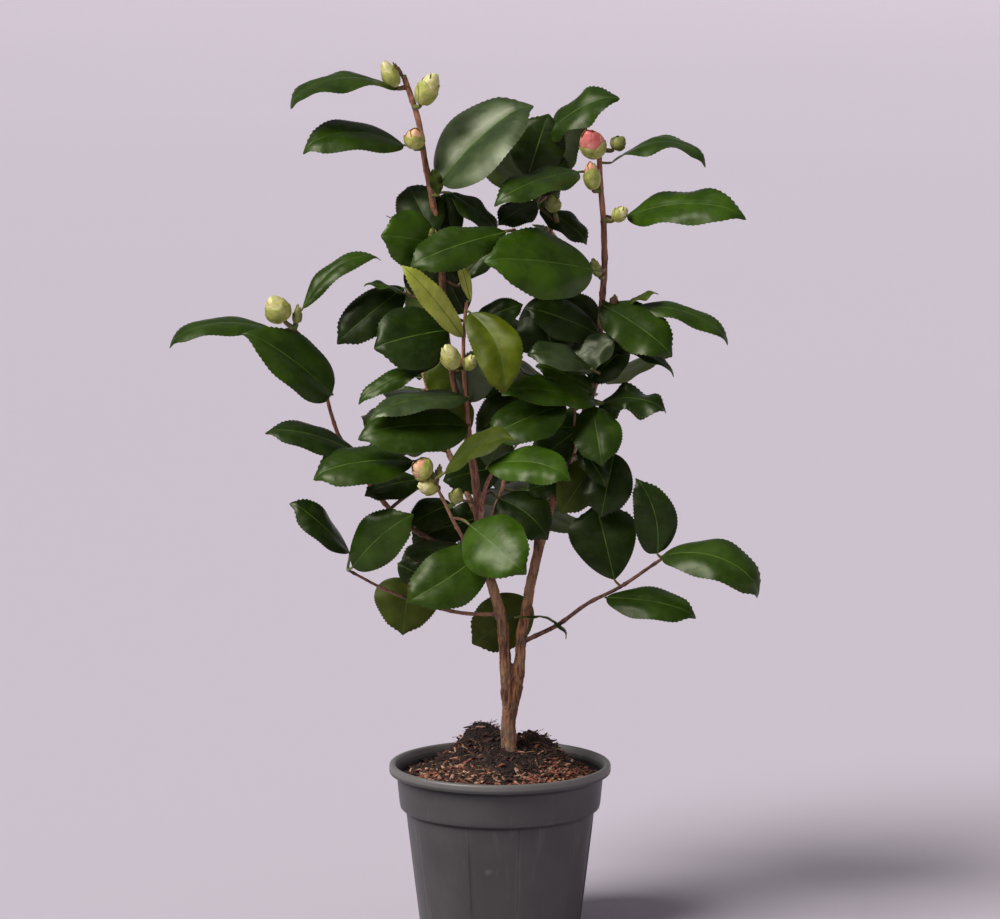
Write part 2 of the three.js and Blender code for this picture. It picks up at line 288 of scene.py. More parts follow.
# %% Mesh builder
class Builder:
    """Gathers closed shells and tubes, each face with the number of its material."""

    def __init__(self):
        self.places = []
        self.faces = []
        self.finishes = []
        self.edge_marks = []
        self.count = 0

    def add(self, places, faces, finishes, marks=None):
        self.places.append(places)
        self.faces.extend(tuple(corner + self.count for corner in face) for face in faces)
        self.finishes.extend(finishes)
        self.edge_marks.append(np.zeros(len(places), int) if marks is None else marks)
        self.count += len(places)

    def shell(self, top, bottom, top_finish, bottom_finish, rim_finish):
        """Two skins of rows by columns, joined round the edge. top_finish holds one number for each column."""
        rows, columns = top.shape[:2]
        size = rows * columns
        index = np.arange(size).reshape(rows, columns)
        quads = np.stack([index[:-1, :-1], index[:-1, 1:], index[1:, 1:], index[1:, :-1]], axis=-1).reshape(-1, 4)
        loop = [*index[0, ::-1], *index[1:, 0], *index[-1, 1:], *index[-2:0:-1, -1]]
        rim = [(here, after, after + size, here + size) for here, after in zip(loop, loop[1:] + loop[:1])]
        marks = np.zeros(2 * size, int)
        marks[loop] = 1
        marks[[corner + size for corner in loop]] = 2
        places = np.concatenate([top.reshape(-1, 3), bottom.reshape(-1, 3)])
        finishes = list(top_finish) * (rows - 1) + [bottom_finish] * len(quads) + [rim_finish] * len(rim)
        self.add(places, [*quads, *(quads[:, ::-1] + size), *rim], finishes, marks)

    def tube(self, path, radii, sides, finish):
        """A closed tube along a path, with a ring of the given radius at each point."""
        path = np.asarray(path, float)
        side = np.cross(ways_along(path)[0], (0.31, 0.2, 0.93))
        turn = np.linspace(0, 2 * math.pi, sides, endpoint=False)
        rings = []
        for point, way, radius in zip(path, ways_along(path), radii):
            side = unit(side - way * side.dot(way))
            spokes = np.outer(np.cos(turn), side) + np.outer(np.sin(turn), np.cross(way, side))
            rings.append(point + radius * spokes)
        count = len(path) * sides
        faces = [tuple(range(sides))[::-1], tuple(range(count - sides, count)), *bands(len(path), sides)]
        self.add(np.concatenate(rings), faces, [finish] * len(faces))

    def mesh(self, name):
        return mesh_of(name, np.concatenate(self.places), self.faces)

    def make(self, name, materials, replaced=()):
        """The joined mesh as a piece of the object, with sharp rims on its shells."""
        mesh = self.mesh(name)
        used = sorted(set(self.finishes))
        mesh.polygons.foreach_set("material_index", [used.index(finish) for finish in self.finishes])
        mesh.polygons.foreach_set("use_smooth", [True] * len(self.faces))
        marks = np.concatenate(self.edge_marks)
        ends = np.empty(2 * len(mesh.edges), int)
        mesh.edges.foreach_get("vertices", ends)
        first, second = marks[ends[0::2]], marks[ends[1::2]]
        sharp = mesh.attributes.new("sharp_edge", "BOOLEAN", "EDGE")
        sharp.data.foreach_set("value", (first > 0) & (first == second))
        dress(name, mesh, [materials[finish] for finish in used], replaced)


def dress(name, mesh, materials, replaced=()):
    """Makes a mesh a named piece that rides on the body and stands for the CAD nodes it replaces."""
    for material in materials:
        mesh.materials.append(material)
    mesh.validate()
    piece = link(name, mesh)
    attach(piece, "root")
    if replaced:
        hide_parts(*replaced)
    print(name, len(mesh.polygons), "faces")


print("mesh builder ready")

# %% [markdown]
# ## Where the limbs run
# The frame gives each limb as a faceted tapering solid. Planes laid across its chord cut it in rings, and the
# middle and size of each ring give the line and the thickness of the limb. Everything that grows later starts
# from these lines, so it stays attached if the solids change.

# %% Limb lines
CUTS = 22
ROUNDNESS = 1.04    # a ring cut from flat faces is a little smaller than the round limb it stands for


def corners_of(node):
    """The corners of a node's triangles, as an array of triangles by 3 corners by 3."""
    mesh = frame["nodes"][node].data
    mesh.calc_loop_triangles()
    places = np.empty(3 * len(mesh.vertices))
    mesh.vertices.foreach_get("co", places)
    order = np.empty(3 * len(mesh.loop_triangles), int)
    mesh.loop_triangles.foreach_get("vertices", order)
    return places.reshape(-1, 3)[order.reshape(-1, 3)]


def farthest(points, place):
    return points[np.argmax(np.linalg.norm(points - place, axis=1))]


def limb_line(node):
    """Middles and radii along a limb, foot first."""
    corners = corners_of(node)
    points = corners.reshape(-1, 3)
    one = farthest(points, points.mean(0))
    foot, tip = sorted((one, farthest(points, one)), key=lambda point: point[2])
    length = np.linalg.norm(tip - foot)
    heights = (corners - foot) @ ((tip - foot) / length)
    middles = []
    radii = []
    for level in np.linspace(0.03, 0.97, CUTS) * length:
        cuts = []
        for a, b in ((0, 1), (1, 2), (2, 0)):
            low, high = heights[:, a] - level, heights[:, b] - level
            crossing = low * high < 0
            share = (low[crossing] / (low[crossing] - high[crossing]))[:, None]
            cuts.append(corners[crossing, a] * (1 - share) + corners[crossing, b] * share)
        ring = np.concatenate(cuts)
        middles.append(ring.mean(0))
        radii.append(np.linalg.norm(ring - ring.mean(0), axis=1).mean())
    ends = (middles[0] - 0.7 * (middles[1] - middles[0]), middles[-1] + 0.7 * (middles[-1] - middles[-2]))
    return np.array([ends[0], *middles, ends[1]]), np.array([radii[0], *radii, radii[-1]]) * ROUNDNESS


LINES = {name: limb_line(name) for name in LIMBS}
for name, (line, radii) in LINES.items():
    print(name, "foot", np.round(line[0], 3), "radii mm", round(radii[1] / MM, 1), round(radii[-1] / MM, 1))

# %% [markdown]
# ## A plain room
# The floor is a very wide shallow dish of pale paper. Far off it curves up, so it has no edge behind the plant
# from any side. A sun with a wide disc is the soft key light of a big window on the left: it lights the floor
# evenly at any distance, and its disc is what the glossy leaves mirror. A weaker one opens up the shadows.

# %% Floor and light
DISH_RINGS = [(10, 0), (25, 0), (36, 0.8), (45, 3.2), (51, 7.5), (54, 13), (55, 20)]
DISH_SECTORS = 96
FLOOR_DROP = 0.0003


def paint_floor(place):
    return {"Base Color": place.clouds(0.08).within(0.2, 0.8).between(srgb(192, 184, 195), srgb(195, 187, 198))}


dish_places = [(0, 0, -FLOOR_DROP)]
for radius, height in DISH_RINGS:
    dish_places += circle(radius, height - FLOOR_DROP, DISH_SECTORS)
dish_mesh = mesh_of("floor", dish_places, disc(len(DISH_RINGS), DISH_SECTORS, 0, 1))
dish_mesh.shade_smooth()
dish_mesh.materials.append(surface("floor_paper", paint_floor, Roughness=0.95, Specular_IOR_Level=0.0))
link("floor", dish_mesh)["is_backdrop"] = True


def sun(name, turn, height, strength, disc, colour):
    """A sun that shines from a compass turn (0 is the front, 90 the left) and a height, in degrees."""
    lamp = link(name, bpy.data.lights.new(name, "SUN"))
    lamp.data.energy = strength
    lamp.data.angle = math.radians(disc)
    lamp.data.color = colour
    lamp.rotation_euler = (math.radians(90 - height), 0.0, math.radians(-turn))


sun("key", 58, 48, 3.9, 34, (1.0, 0.985, 0.965))
sun("fill", -120, 68, 0.12, 70, (0.98, 0.98, 1.0))

world = bpy.data.worlds.new("room")
world.use_nodes = True
bpy.context.scene.world = world
world.node_tree.nodes["Background"].inputs["Color"].default_value = srgb(208, 204, 208)
world.node_tree.nodes["Background"].inputs["Strength"].default_value = 0.23
bpy.context.scene.view_settings.view_transform = "Standard"
print("floor and two suns")

# %% [markdown]
# ## Finer limb lines
# The solids run straight between their rings, and a real shoot bends a little at every bud. Each line is cut
# finer, smoothed, and set wandering by a slow noise that dies out at both ends, so the joints stay joined. Each
# foot is pushed a little way into the limb that carries it.

# %% Limb lines, finer
LIMB_STEP = 2 * MM
WANDER = 1.3 * MM
WANDER_SEED = 3
FOOT_REACH = 4 * MM
SOFT_REACH = 5


def soften(values):
    """A running mean that keeps both ends where they are."""
    padded = np.pad(values, ((SOFT_REACH, SOFT_REACH), (0, 0)), mode="reflect", reflect_type="odd")
    window = np.ones(2 * SOFT_REACH + 1) / (2 * SOFT_REACH + 1)
    return np.column_stack([np.convolve(column, window, mode="valid") for column in padded.T])


def finer(line, radii, reach):
    """The line cut in steps of about LIMB_STEP, with its foot pushed back by reach."""
    line = np.vstack([line[0] - reach * unit(line[1] - line[0]), line])
    radii = np.array([radii[0], *radii])
    lengths = np.concatenate([[0], np.cumsum(np.linalg.norm(np.diff(line, axis=0), axis=1))])
    stations = np.linspace(0, lengths[-1], int(lengths[-1] / LIMB_STEP) + 1)
    fine = soften(sampled(stations, lengths, line))
    widths = soften(sampled(stations, lengths, radii[:, None]))[:, 0]
    share = stations / lengths[-1]
    calm = np.clip(np.minimum(share, 1 - share) * 6, 0, 1)
    sway = np.array([noise.noise_vector(Vector(point) * 28) for point in fine])
    return fine + WANDER * calm[:, None] * sway, widths


noise.seed_set(WANDER_SEED)
LIMB = {name: finer(*pair, 0 if name == "trunk" else FOOT_REACH) for name, pair in LINES.items()}
print("points along the limbs", sum(len(line) for line, _ in LIMB.values()))

# %% [markdown]
# ## Where foliage goes
# Each spray below lists its leaves one by one. A base and a tip are given as shares of the spray's own box, in
# steps of a twentieth, so leaves follow the solids if those move. After them come the greatest width in
# millimetres, the way the upper face looks (0 is up, 90 is to the front), the bend of the midrib in degrees, and
# the tone of green. Optional values fold the blade, bow it sideways, ruffle its edge, twist it, or say where
# along it the blade is widest.

# %% Leaf table
@dataclass
class Leaf:
    base: tuple
    tip: tuple
    wide: float
    face: float
    droop: float
    tone: str
    fold: float = 9.0
    hook: float = 0.0
    wave: float = 1.0
    twist: float = 0.0
    peak: float = 0.5


LEAVES = {
    "spray_left_top": [
        Leaf((1.05, 0.65, 0.45), (0, 0.25, -0.05), 42, 14, 75, "mid", wave=1.8, peak=0.6),
    ],
    "spray_left_second": [
        Leaf((0.9, 0.7, 0.4), (0.05, 0.25, 0.2), 42, 34, 55, "mid", hook=6),
    ],
    "spray_left_broad": [
        Leaf((0, 0.7, 0.1), (0.95, 0.9, 1), 84, 27, 22, "dusty", fold=18, wave=0.7, peak=0.45, hook=-2.5),
    ],
    "spray_left_middle": [
        Leaf((0.45, 0.5, 0.4), (0.25, 1, 0.85), 36, 62, 30, "deep"),
        Leaf((0.5, 0.45, 0.3), (0.05, 0.1, 0.4), 46, 72, 25, "bright", wave=0.6),
        Leaf((0.6, 0.7, 0.35), (0.55, 1, 0.8), 22, 70, 20, "deep"),
        Leaf((0.6, 0.65, 0.8), (0.95, 0.75, 0.4), 24, 35, 50, "deep", hook=3),
        Leaf((0.7, 0.6, -0.05), (1, 0.7, 0.35), 20, 50, 20, "deep"),
        Leaf((0.5, 0.5, 0.8), (0.45, 0.45, 1.05), 10, 60, 30, "olive"),
    ],
    "spray_centre_left": [
        Leaf((1.35, 0.5, 1.3), (0.45, 0, 0.9), 37, 52, 25, "mid", peak=0.6),
        Leaf((0.8, 0.35, 0.15), (0.1, -0.05, -0.05), 54, 64, 30, "deep"),
        Leaf((0.95, 1, 0.3), (0.7, 0.85, 0.9), 30, 66, 20, "deep"),
    ],
    "spray_left_side": [
        Leaf((1.05, 0.6, 1), (0.2, 0.15, 0.25), 34, 66, 25, "deep"),
        Leaf((1.05, 0.4, 0.95), (0.55, 0, 1.05), 14, 14, 40, "mid"),
    ],
    "spray_centre_young": [
        Leaf((0.25, 0.9, 0.5), (-0.5, 0.5, 1.1), 19, 62, 35, "young"),
        Leaf((0.35, 0.95, 0.8), (0.2, 0.8, 1.2), 8, 80, 20, "young"),
        Leaf((0.35, 0.8, 0.7), (0.75, 0.2, 0.05), 38, 78, 45, "lime", fold=20, hook=-9),
        Leaf((0.4, 1.15, 0.6), (1, 1.4, 0.75), 22, 60, 20, "deep"),
    ],
    "spray_left_lower": [
        Leaf((0.75, 0.7, 1.1), (0.05, 0.35, 0.65), 18, 32, 30, "mid", twist=30),
        Leaf((1, 0.7, 0.7), (0.15, 0, 0.5), 30, 26, 40, "dusty"),
        Leaf((1, 0.65, 0.4), (0.05, 0.05, 0.3), 50, 46, 35, "mid"),
        Leaf((0.95, 1.25, 0.8), (0.6, 1.35, 0.9), 27, 80, 10, "backlit"),
        Leaf((1, 1, 0.3), (0.75, 0.9, 0.7), 30, 80, 20, "backlit"),
    ],
    "spray_centre_lower": [
        Leaf((0, 1, 0.6), (0.2, 1.3, 1), 22, 60, 20, "deep"),
        Leaf((0.95, 1.05, 0.55), (0.2, 0.35, 0.7), 34, 40, 30, "bright", fold=14),
        Leaf((0.9, 0.9, 1), (0.4, 0.7, 1.2), 28, 40, 50, "dusty", fold=12, peak=0.6),
        Leaf((0.9, 1.1, 0.55), (0.65, 1.3, 0.95), 22, 60, 20, "deep"),
        Leaf((0.7, 0.65, 0.55), (0.1, 0.35, 0.1), 44, 42, 25, "mid", fold=12),
        Leaf((-0.05, 0.9, 0.55), (0.05, 0.85, 1.3), 30, 72, 20, "dusty"),
        Leaf((0.4, 1.1, 0.6), (0, 1.2, 0.1), 34, 70, 20, "deep"),
        Leaf((0.75, 1.05, 0.1), (0.45, 0.9, -0.3), 30, 66, 20, "deep"),
    ],
    "spray_right_low": [
        Leaf((0.4, 0.5, 1.1), (0.5, -0.15, 0.75), 38, 70, 30, "mid"),
        Leaf((-0.65, 0.55, 0.5), (-0.1, 0.25, 0.25), 40, 56, 25, "deep", peak=0.45, hook=-4),
        Leaf((0.45, 0.75, 0.75), (0.05, 0.6, 0.4), 32, 88, 15, "olive"),
        Leaf((0.65, 0.15, 0), (0.45, 0.65, 0.45), 52, 66, 20, "deep", peak=0.66),
        Leaf((0.25, 0.35, 0.85), (0.55, 0.1, 0.6), 18, 36, 30, "deep"),
        Leaf((0.65, 0.45, 0.8), (0.5, 0.2, 0.4), 38, 62, 20, "deep"),
        Leaf((0, 0.7, 0.6), (-0.35, 0.55, 0.55), 20, 62, 15, "deep"),
        Leaf((0.4, 0.75, 0.95), (-0.1, 0.65, 0.95), 26, 66, 20, "deep"),
    ],
    "spray_centre_right": [
        Leaf((0.85, 0.65, 0.45), (0.1, 0.45, 0.8), 34, 56, 25, "deep"),
        Leaf((0.85, 0.8, 0.2), (0.15, 0.85, 0.25), 32, 66, 20, "deep"),
        Leaf((1, 0.35, 0.4), (0.45, 0.55, 0), 32, 52, 20, "dusty", fold=4, wave=1.6),
        Leaf((0.25, 0.75, 0.95), (0.4, 0.5, 0.05), 46, 76, 20, "deep"),
        Leaf((0.8, 0.55, -0.3), (0.2, 0.35, 0.05), 30, 46, 30, "mid"),
        Leaf((1.15, 0.6, 0.3), (0.75, 0.65, -0.2), 26, 62, 20, "deep"),
    ],
    "spray_right_middle": [
        Leaf((-0.05, 0.5, 0.9), (0.5, 0, -0.05), 42, 50, 35, "mid", wave=2),
        Leaf((0.2, 0.6, 0.85), (0.95, 0.25, 0.15), 26, 24, 60, "mid", hook=-1),
        Leaf((0.15, 0.5, 0.9), (0.4, 0.45, 1.1), 12, 14, 40, "olive"),
        Leaf((0.05, 0.55, 0.2), (0.2, 0.5, 0.6), 11, 60, 20, "olive"),
        Leaf((-0.1, 0.95, 0.15), (-0.4, 1.05, 1), 40, 70, 20, "deep"),
    ],
    "spray_right_lower": [
        Leaf((0.15, 0.7, 0.95), (0.95, 0.35, 0.55), 15, 14, 75, "deep", hook=3),
        Leaf((-0.05, 0.7, 0.05), (0.85, 0.2, -0.05), 30, 38, 80, "deep", wave=4, twist=25),
    ],
    "spray_front_high": [
        Leaf((1, 0.9, 0.4), (0.05, 0.15, 0.6), 60, 60, 22, "bright"),
    ],
    "spray_right_inner": [
        Leaf((0.9, 1, 0.7), (0.05, 0, 0.1), 34, 36, 50, "mid", hook=-4, wave=1.6),
    ],
    "spray_back_upper": [
        Leaf((0.45, 0.35, 0.55), (0.7, 0.6, 1.15), 28, 66, 20, "deep"),
        Leaf((0.3, 0.45, 0.8), (0.55, 0.65, 1.7), 42, 66, 20, "deep"),
        Leaf((0.4, 0.2, 0.45), (-0.05, -0.2, 0.15), 26, 50, 30, "deep"),
        Leaf((0.45, 0.35, 0.35), (1, 0.15, -0.15), 24, 36, 50, "deep"),
    ],
    "spray_back_top": [
        Leaf((0.05, 0.6, 0.2), (0.95, 0.05, 0.9), 38, 40, 50, "mid", wave=2.5, peak=0.6),
    ],
    "spray_right_top": [
        Leaf((-0.05, 0.75, 0.05), (0.95, 0.2, -0.05), 33, 18, 85, "mid", wave=2.4, hook=-6),
    ],
    "spray_right_second": [
        Leaf((0.1, 0.85, 0), (0.95, 0.15, -0.05), 40, 42, 55, "bright", wave=2),
    ],
    "spray_arm_tip": [
        Leaf((1.05, 0.55, 0.75), (0.1, 0.25, 0.25), 36, 16, 60, "mid"),
    ],
    "spray_arm_rising": [
        Leaf((0.05, 0.3, 0.2), (1.05, 0.8, 0.9), 21, 30, 70, "mid", hook=-4.5),
    ],
    "spray_arm_hanging": [
        Leaf((1.05, 0.7, 0.2), (0.15, 0.25, 1.05), 56, 38, 25, "mid", fold=20, peak=0.4),
    ],
    "spray_arm_inner": [
        Leaf((0.7, 0.6, 0.55), (0.05, 0.35, 0.95), 36, 28, 35, "deep"),
        Leaf((1.1, 0.45, 0.4), (0.4, 0, 0.1), 44, 36, 40, "mid", peak=0.55),
        Leaf((1.15, 1, -0.05), (0.75, 0.8, -0.35), 28, 40, 30, "deep"),
    ],
    "spray_front_middle": [
        Leaf((0.3, 0.65, 1.05), (0.95, 0.2, 0.95), 36, 44, 35, "bright", hook=-5),
        Leaf((-0.05, 0.95, 0.95), (0.5, 0.65, 1.3), 46, 24, 20, "olive", fold=24, hook=-5),
        Leaf((0.15, 0.8, 0.45), (0.6, 0.15, 0.05), 50, 76, 35, "bright", peak=0.45),
    ],
    "spray_low_right_up": [
        Leaf((0.55, 0.35, 0.05), (0.15, 0.8, 1.05), 33, 66, 20, "deep", hook=6, peak=0.4),
    ],
    "spray_low_right_tip": [
        Leaf((-0.05, 0.65, 0.9), (0.95, 0.25, 0.15), 42, 38, 95, "mid", hook=-4),
    ],
    "spray_low_right": [
        Leaf((-0.05, 0.7, 0.75), (0.95, 0.25, 0.25), 36, 34, 45, "mid", hook=2),
    ],
    "spray_low_curled": [
        Leaf((-0.05, 0.95, 0.95), (0.95, 0.35, 0.2), 12, -10, 80, "deep"),
    ],
    "spray_low_left_tip": [
        Leaf((0.95, 0.75, 0.3), (0.05, 0.3, 1.15), 30, 30, 45, "deep", hook=-5, twist=45),
    ],
    "spray_low_left": [
        Leaf((0.05, 0.65, 0.25), (0.95, 0.15, 1.1), 38, 70, 20, "mid", hook=-3),
    ],
    "spray_low_inner": [
        Leaf((0.3, 0.5, 0.1), (0.65, 0.35, -0.05), 22, 84, 15, "deep"),
        Leaf((1, 0.35, 0.3), (0.35, 0.05, 0.2), 26, 40, 30, "dusty"),
        Leaf((0.9, 0.45, 0.75), (0.45, 0.15, 0.55), 28, 56, 25, "deep"),
        Leaf((1.15, 0.8, 0.55), (0.45, 0.6, 0.35), 28, 66, 20, "deep"),
        Leaf((1.2, 0.95, 0.7), (0.75, 0.7, 0.3), 24, 70, 20, "deep"),
        Leaf((1.45, 1, 1.1), (0.8, 0.9, 0.95), 34, 70, 20, "deep"),
        Leaf((1.3, 0.95, 1.1), (1.5, 1, 1.45), 28, 70, 20, "dusty"),
    ],
    "spray_low_front": [
        Leaf((1, 0.75, 1), (0.1, 0.2, 0.35), 46, 62, 25, "mid", hook=-4),
    ],
    "spray_low_hanging": [
        Leaf((0.5, 0.45, 1.15), (0.4, 0.3, 0.1), 50, 98, 12, "olive", peak=0.35),
    ],
    "spray_low_back": [
        Leaf((0.9, 0.1, 0.9), (0.1, 0.2, 0), 44, 92, 10, "olive"),
    ],
}
print("leaves in the table", sum(len(leaves) for leaves in LEAVES.values()))

# %% [markdown]
# ## Leaf finishes
# A camellia leaf is thick and waxy. Its upper face is a deep glossy green that clouds over with dust, its
# underside is paler and duller, and the midrib and the fine toothed edge are yellow green. Each tone of green
# is one plain material, broken up by a slow noise, so a spray reads as one growth with some variety.

# %% Leaf materials
# Dark green, light green, roughness and shine.
TONES = {
    "deep": (srgb(21, 36, 5), srgb(33, 51, 8), 0.33, 0.26),
    "mid": (srgb(31, 51, 4), srgb(44, 66, 7), 0.32, 0.26),
    "bright": (srgb(38, 61, 3), srgb(53, 81, 6), 0.31, 0.26),
    # This tone is a greyer, paler green that is painted sheen, on top of a stronger real shine.
    "dusty": (srgb(40, 56, 24), srgb(58, 74, 38), 0.34, 0.6),
    "olive": (srgb(50, 62, 10), srgb(70, 80, 18), 0.46, 0.2),
    "backlit": (srgb(64, 80, 10), srgb(84, 100, 20), 0.46, 0.2),
    "lime": (srgb(60, 72, 3), srgb(86, 96, 10), 0.36, 0.22),
    "young": (srgb(138, 146, 52), srgb(166, 172, 76), 0.36, 0.28),
}
# Dark, light, roughness, size of the patches and shine.
PLAIN_PARTS = {
    "underside": (srgb(54, 68, 26), srgb(78, 92, 40), 0.5, 60, 0.25),
    "midrib": (srgb(50, 74, 18), srgb(82, 106, 34), 0.4, 90, 0.3),
    "edge": (srgb(66, 84, 34), srgb(104, 116, 60), 0.45, 120, 0.3),
}
WARM_SHINE = srgb(252, 255, 222)
FINISHES = [*TONES, *PLAIN_PARTS]


def leaf_paint(dark, light, gloss):
    def paint(place):
        patches = place.clouds(55, detail=4).within(0.34, 0.68)
        film = place.stretched(1, 1, 1.6).clouds(140, detail=5).within(0.48, 0.8)
        return {
            "Base Color": (film * 0.08).between(patches.between(dark, light), srgb(100, 112, 76)),
            "Roughness": gloss + 0.16 * film + 0.05 * patches,
            "Normal": place.clouds(900, detail=2).bump(0.00012, 0.5),
        }
    return paint


def plain_paint(dark, light, gloss, grain):
    def paint(place):
        patches = place.clouds(grain, detail=4).within(0.3, 0.7)
        return {"Base Color": patches.between(dark, light), "Roughness": gloss + 0.1 * patches}
    return paint


LEAF_MATERIALS = [surface("leaf_" + name, leaf_paint(*look), Specular_IOR_Level=shine, Specular_Tint=WARM_SHINE)
                  for name, (*look, shine) in TONES.items()]
LEAF_MATERIALS += [surface("leaf_" + name, plain_paint(*look), Specular_IOR_Level=shine)
                   for name, (*look, shine) in PLAIN_PARTS.items()]
print("leaf materials", len(LEAF_MATERIALS))

# %% [markdown]
# ## One leaf
# The midrib is an arc from base to tip. Ribs of points are laid across it: the outline gives their width, a
# small step forward and outward on every second rib makes the teeth, and the section is a shallow V with its
# edges rolled down. Side veins press lightly into the blade between midrib and edge.

# %% The blade of a leaf
LEAF_RIBS = 49
RIB_SHARES = np.array([0, 0.15, 0.38, 0.62, 0.83, 1.0])
TOOTH = 0.7 * MM
TOOTH_STEP = 0.6 * MM
RUFFLE = 1.4 * MM
BUCKLE = 1.6 * MM
VEIN_GAP = 8.5 * MM
VEIN_DEPTH = 0.4 * MM
BLADE_THICKNESS = 0.45 * MM
EDGE_ROLL = 0.3
TIP_DROOP = math.radians(30)


def outline(share, peak=0.5):
    """Half width along a leaf: widest at its peak, drawn out to a blunt drip tip."""
    rising, falling = 1.1 * peak, 1.1 * (1 - peak)
    body = share ** rising * (1 - share) ** falling / (peak ** rising * (1 - peak) ** falling)
    return body * (1 - 0.5 * ramp(share, 0.8, 0.97)) * (1 - 0.14 * ramp(share, peak, 0.9))


def leaf_axes(leaf):
    """Along a leaf, out of its upper face, and across it, with its length."""
    way = unit(leaf.tip - leaf.base)
    lean = math.radians(leaf.face)
    for guide in ((0.0, -math.sin(lean), math.cos(lean)), (0.0, -1.0, 0.4)):
        up = guide - way * way.dot(guide)
        if np.linalg.norm(up) >= 0.2:
            break
    up = unit(up)
    return way, up, np.cross(way, up), np.linalg.norm(leaf.tip - leaf.base)


def summed(steps):
    """Running total of the mean of each two neighbours, from nothing."""
    return np.concatenate([[0], np.cumsum((steps[1:] + steps[:-1]) / 2)])


def blade(builder, leaf):
    """Adds one leaf whose base and tip are places in metres."""
    way, up, side, length = leaf_axes(leaf)
    share = np.linspace(0, 1, LEAF_RIBS)
    slope = math.radians(leaf.droop) * (share ** 1.5 - 0.4) + TIP_DROOP * ramp(share, 0.8, 1.0)
    run, rise = summed(np.cos(slope)), -summed(np.sin(slope))
    scale = length / run[-1]
    midrib = leaf.base + scale * (np.outer(run, way) + np.outer(rise - rise[-1] * share, up))
    midrib += np.outer(leaf.hook * MM * (1 - (2 * share - 1) ** 2), side)
    normals = np.outer(np.cos(slope), up) + np.outer(np.sin(slope), way)

    tooth = (np.arange(LEAF_RIBS) % 2) * ramp(share, 0.12, 0.25) * ramp(1 - share, 0.04, 0.1)
    half = np.maximum(leaf.wide / 2 * MM * outline(share, leaf.peak), np.linspace(0.9, 0.3, LEAF_RIBS) * MM)
    inner = np.clip((0.38 - 0.24 * share) * MM / half, 0.02, 0.6)[:, None]
    size = inner + (1 - inner) * RIB_SHARES
    across = np.hstack([-size[:, ::-1], size])
    size, sign = np.abs(across), np.sign(across)
    edge = (size >= 0.999) * tooth[:, None]
    half, along = half[:, None], (share * scale * run[-1])[:, None]

    fold = math.radians(leaf.fold)
    phase = (along - size * half * 0.6) / VEIN_GAP + 0.25 * sign
    veins = (np.abs(np.sin(math.pi * phase)) ** 0.6 - 0.6) * 4 * size * (1 - size) * VEIN_DEPTH
    chance = noise.noise(Vector(leaf.tip) * 60)
    ruffle = size ** 2 * np.sin(share[:, None] * (13 + 4 * chance) + 2.1 * sign + 9 * chance)
    buckle = np.array([[noise.noise(Vector((s, 1.3 * a, 7.0))) for a in row]
                       for s, row in zip(3.2 * share + 40 * chance, across)]) * size ** 0.5
    height = half * (math.sin(fold) * size - EDGE_ROLL * size ** 2.6) + veins
    height += leaf.wave * (RUFFLE * ruffle + BUCKLE * buckle) * outline(share)[:, None]
    reach = across * half * math.cos(fold) + sign * edge * TOOTH

    twist = (np.radians(leaf.twist) * (share - 0.35))[:, None]
    turned_side = (np.cos(twist) * side + np.sin(twist) * normals)[:, None]
    turned_up = (np.cos(twist) * normals - np.sin(twist) * side)[:, None]
    top = midrib[:, None] + reach[:, :, None] * turned_side + height[:, :, None] * turned_up
    top += TOOTH_STEP * edge[:, :, None] * way
    thick = BLADE_THICKNESS * (1 - 0.45 * size) + (size <= inner + 1e-6) * (0.6 - 0.5 * share)[:, None] * MM
    columns = [FINISHES.index(leaf.tone)] * (len(RIB_SHARES) - 1)
    builder.shell(top, top - thick[:, :, None] * turned_up, columns + [FINISHES.index("midrib")] + columns,
                  FINISHES.index("underside"), FINISHES.index("edge"))


print("faces in one leaf", 2 * (LEAF_RIBS - 1) * (2 * len(RIB_SHARES) - 1) + 2 * (LEAF_RIBS + 2 * len(RIB_SHARES)))

# %% [markdown]
# ## From shares to places
# The table is turned into real places. The sprays at the back have no table, because a rule is enough there:
# leaves leave the bough by the golden angle, as on any camellia shoot. One thing the rule must respect is the
# light that shows through an open crown from the front. So each leaf is tried against lines of sight from the
# camera: where too many of them miss the sprays in front, the leaf is turned further round, and left out if that
# doesn't help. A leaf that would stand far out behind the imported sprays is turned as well.

# %% Leaves in place
GOLDEN_ANGLE = math.radians(137.5)
# For each spray at the back: the bough that carries it, the share of the bough's length where leaves begin,
# and how many there are.
BACK_SHOOTS = {
    "spray_back_left": ("bough_back_left", 0.25, 17),
    "spray_back_right": ("bough_back_right", 0.25, 17),
    "spray_back_low": ("bough_back_low", 0.3, 16),
    "spray_back_high": ("leader_back", 0.3, 17),
}
MOST_SEEN = 1
TURNS_TRIED = 14
FAR_BACK = cad_box[1][1] + 10 * MM


def joined_solids(nodes):
    """One search tree over the faces of several solids."""
    corners = np.concatenate([corners_of(node).reshape(-1, 3) for node in nodes])
    return BVHTree.FromPolygons([Vector(corner) for corner in corners],
                                [(k, k + 1, k + 2) for k in range(0, len(corners), 3)])


def in_box(node, share):
    """The place at a share of a node's box."""
    low, high = (np.array(corner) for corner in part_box(node))
    return low + np.array(share) * (high - low)


front_crown = joined_solids(sorted(node for node in SPRAYS if node not in BACK_SHOOTS))


def shows_through(leaf):
    """Whether a leaf would show past the sprays before it, as seen from the front."""
    way, _, side, length = leaf_axes(leaf)
    seen = 0
    for share in np.linspace(0, 1, 7):
        half = 0.45 * leaf.wide * MM * math.sin(math.pi * share)
        for across in (-half, 0, half):
            sight = Vector(leaf.base + share * length * way + across * side) - camera.location
            hit = front_crown.ray_cast(camera.location, sight.normalized(), sight.length)[0]
            seen += hit is None
    return seen > MOST_SEEN


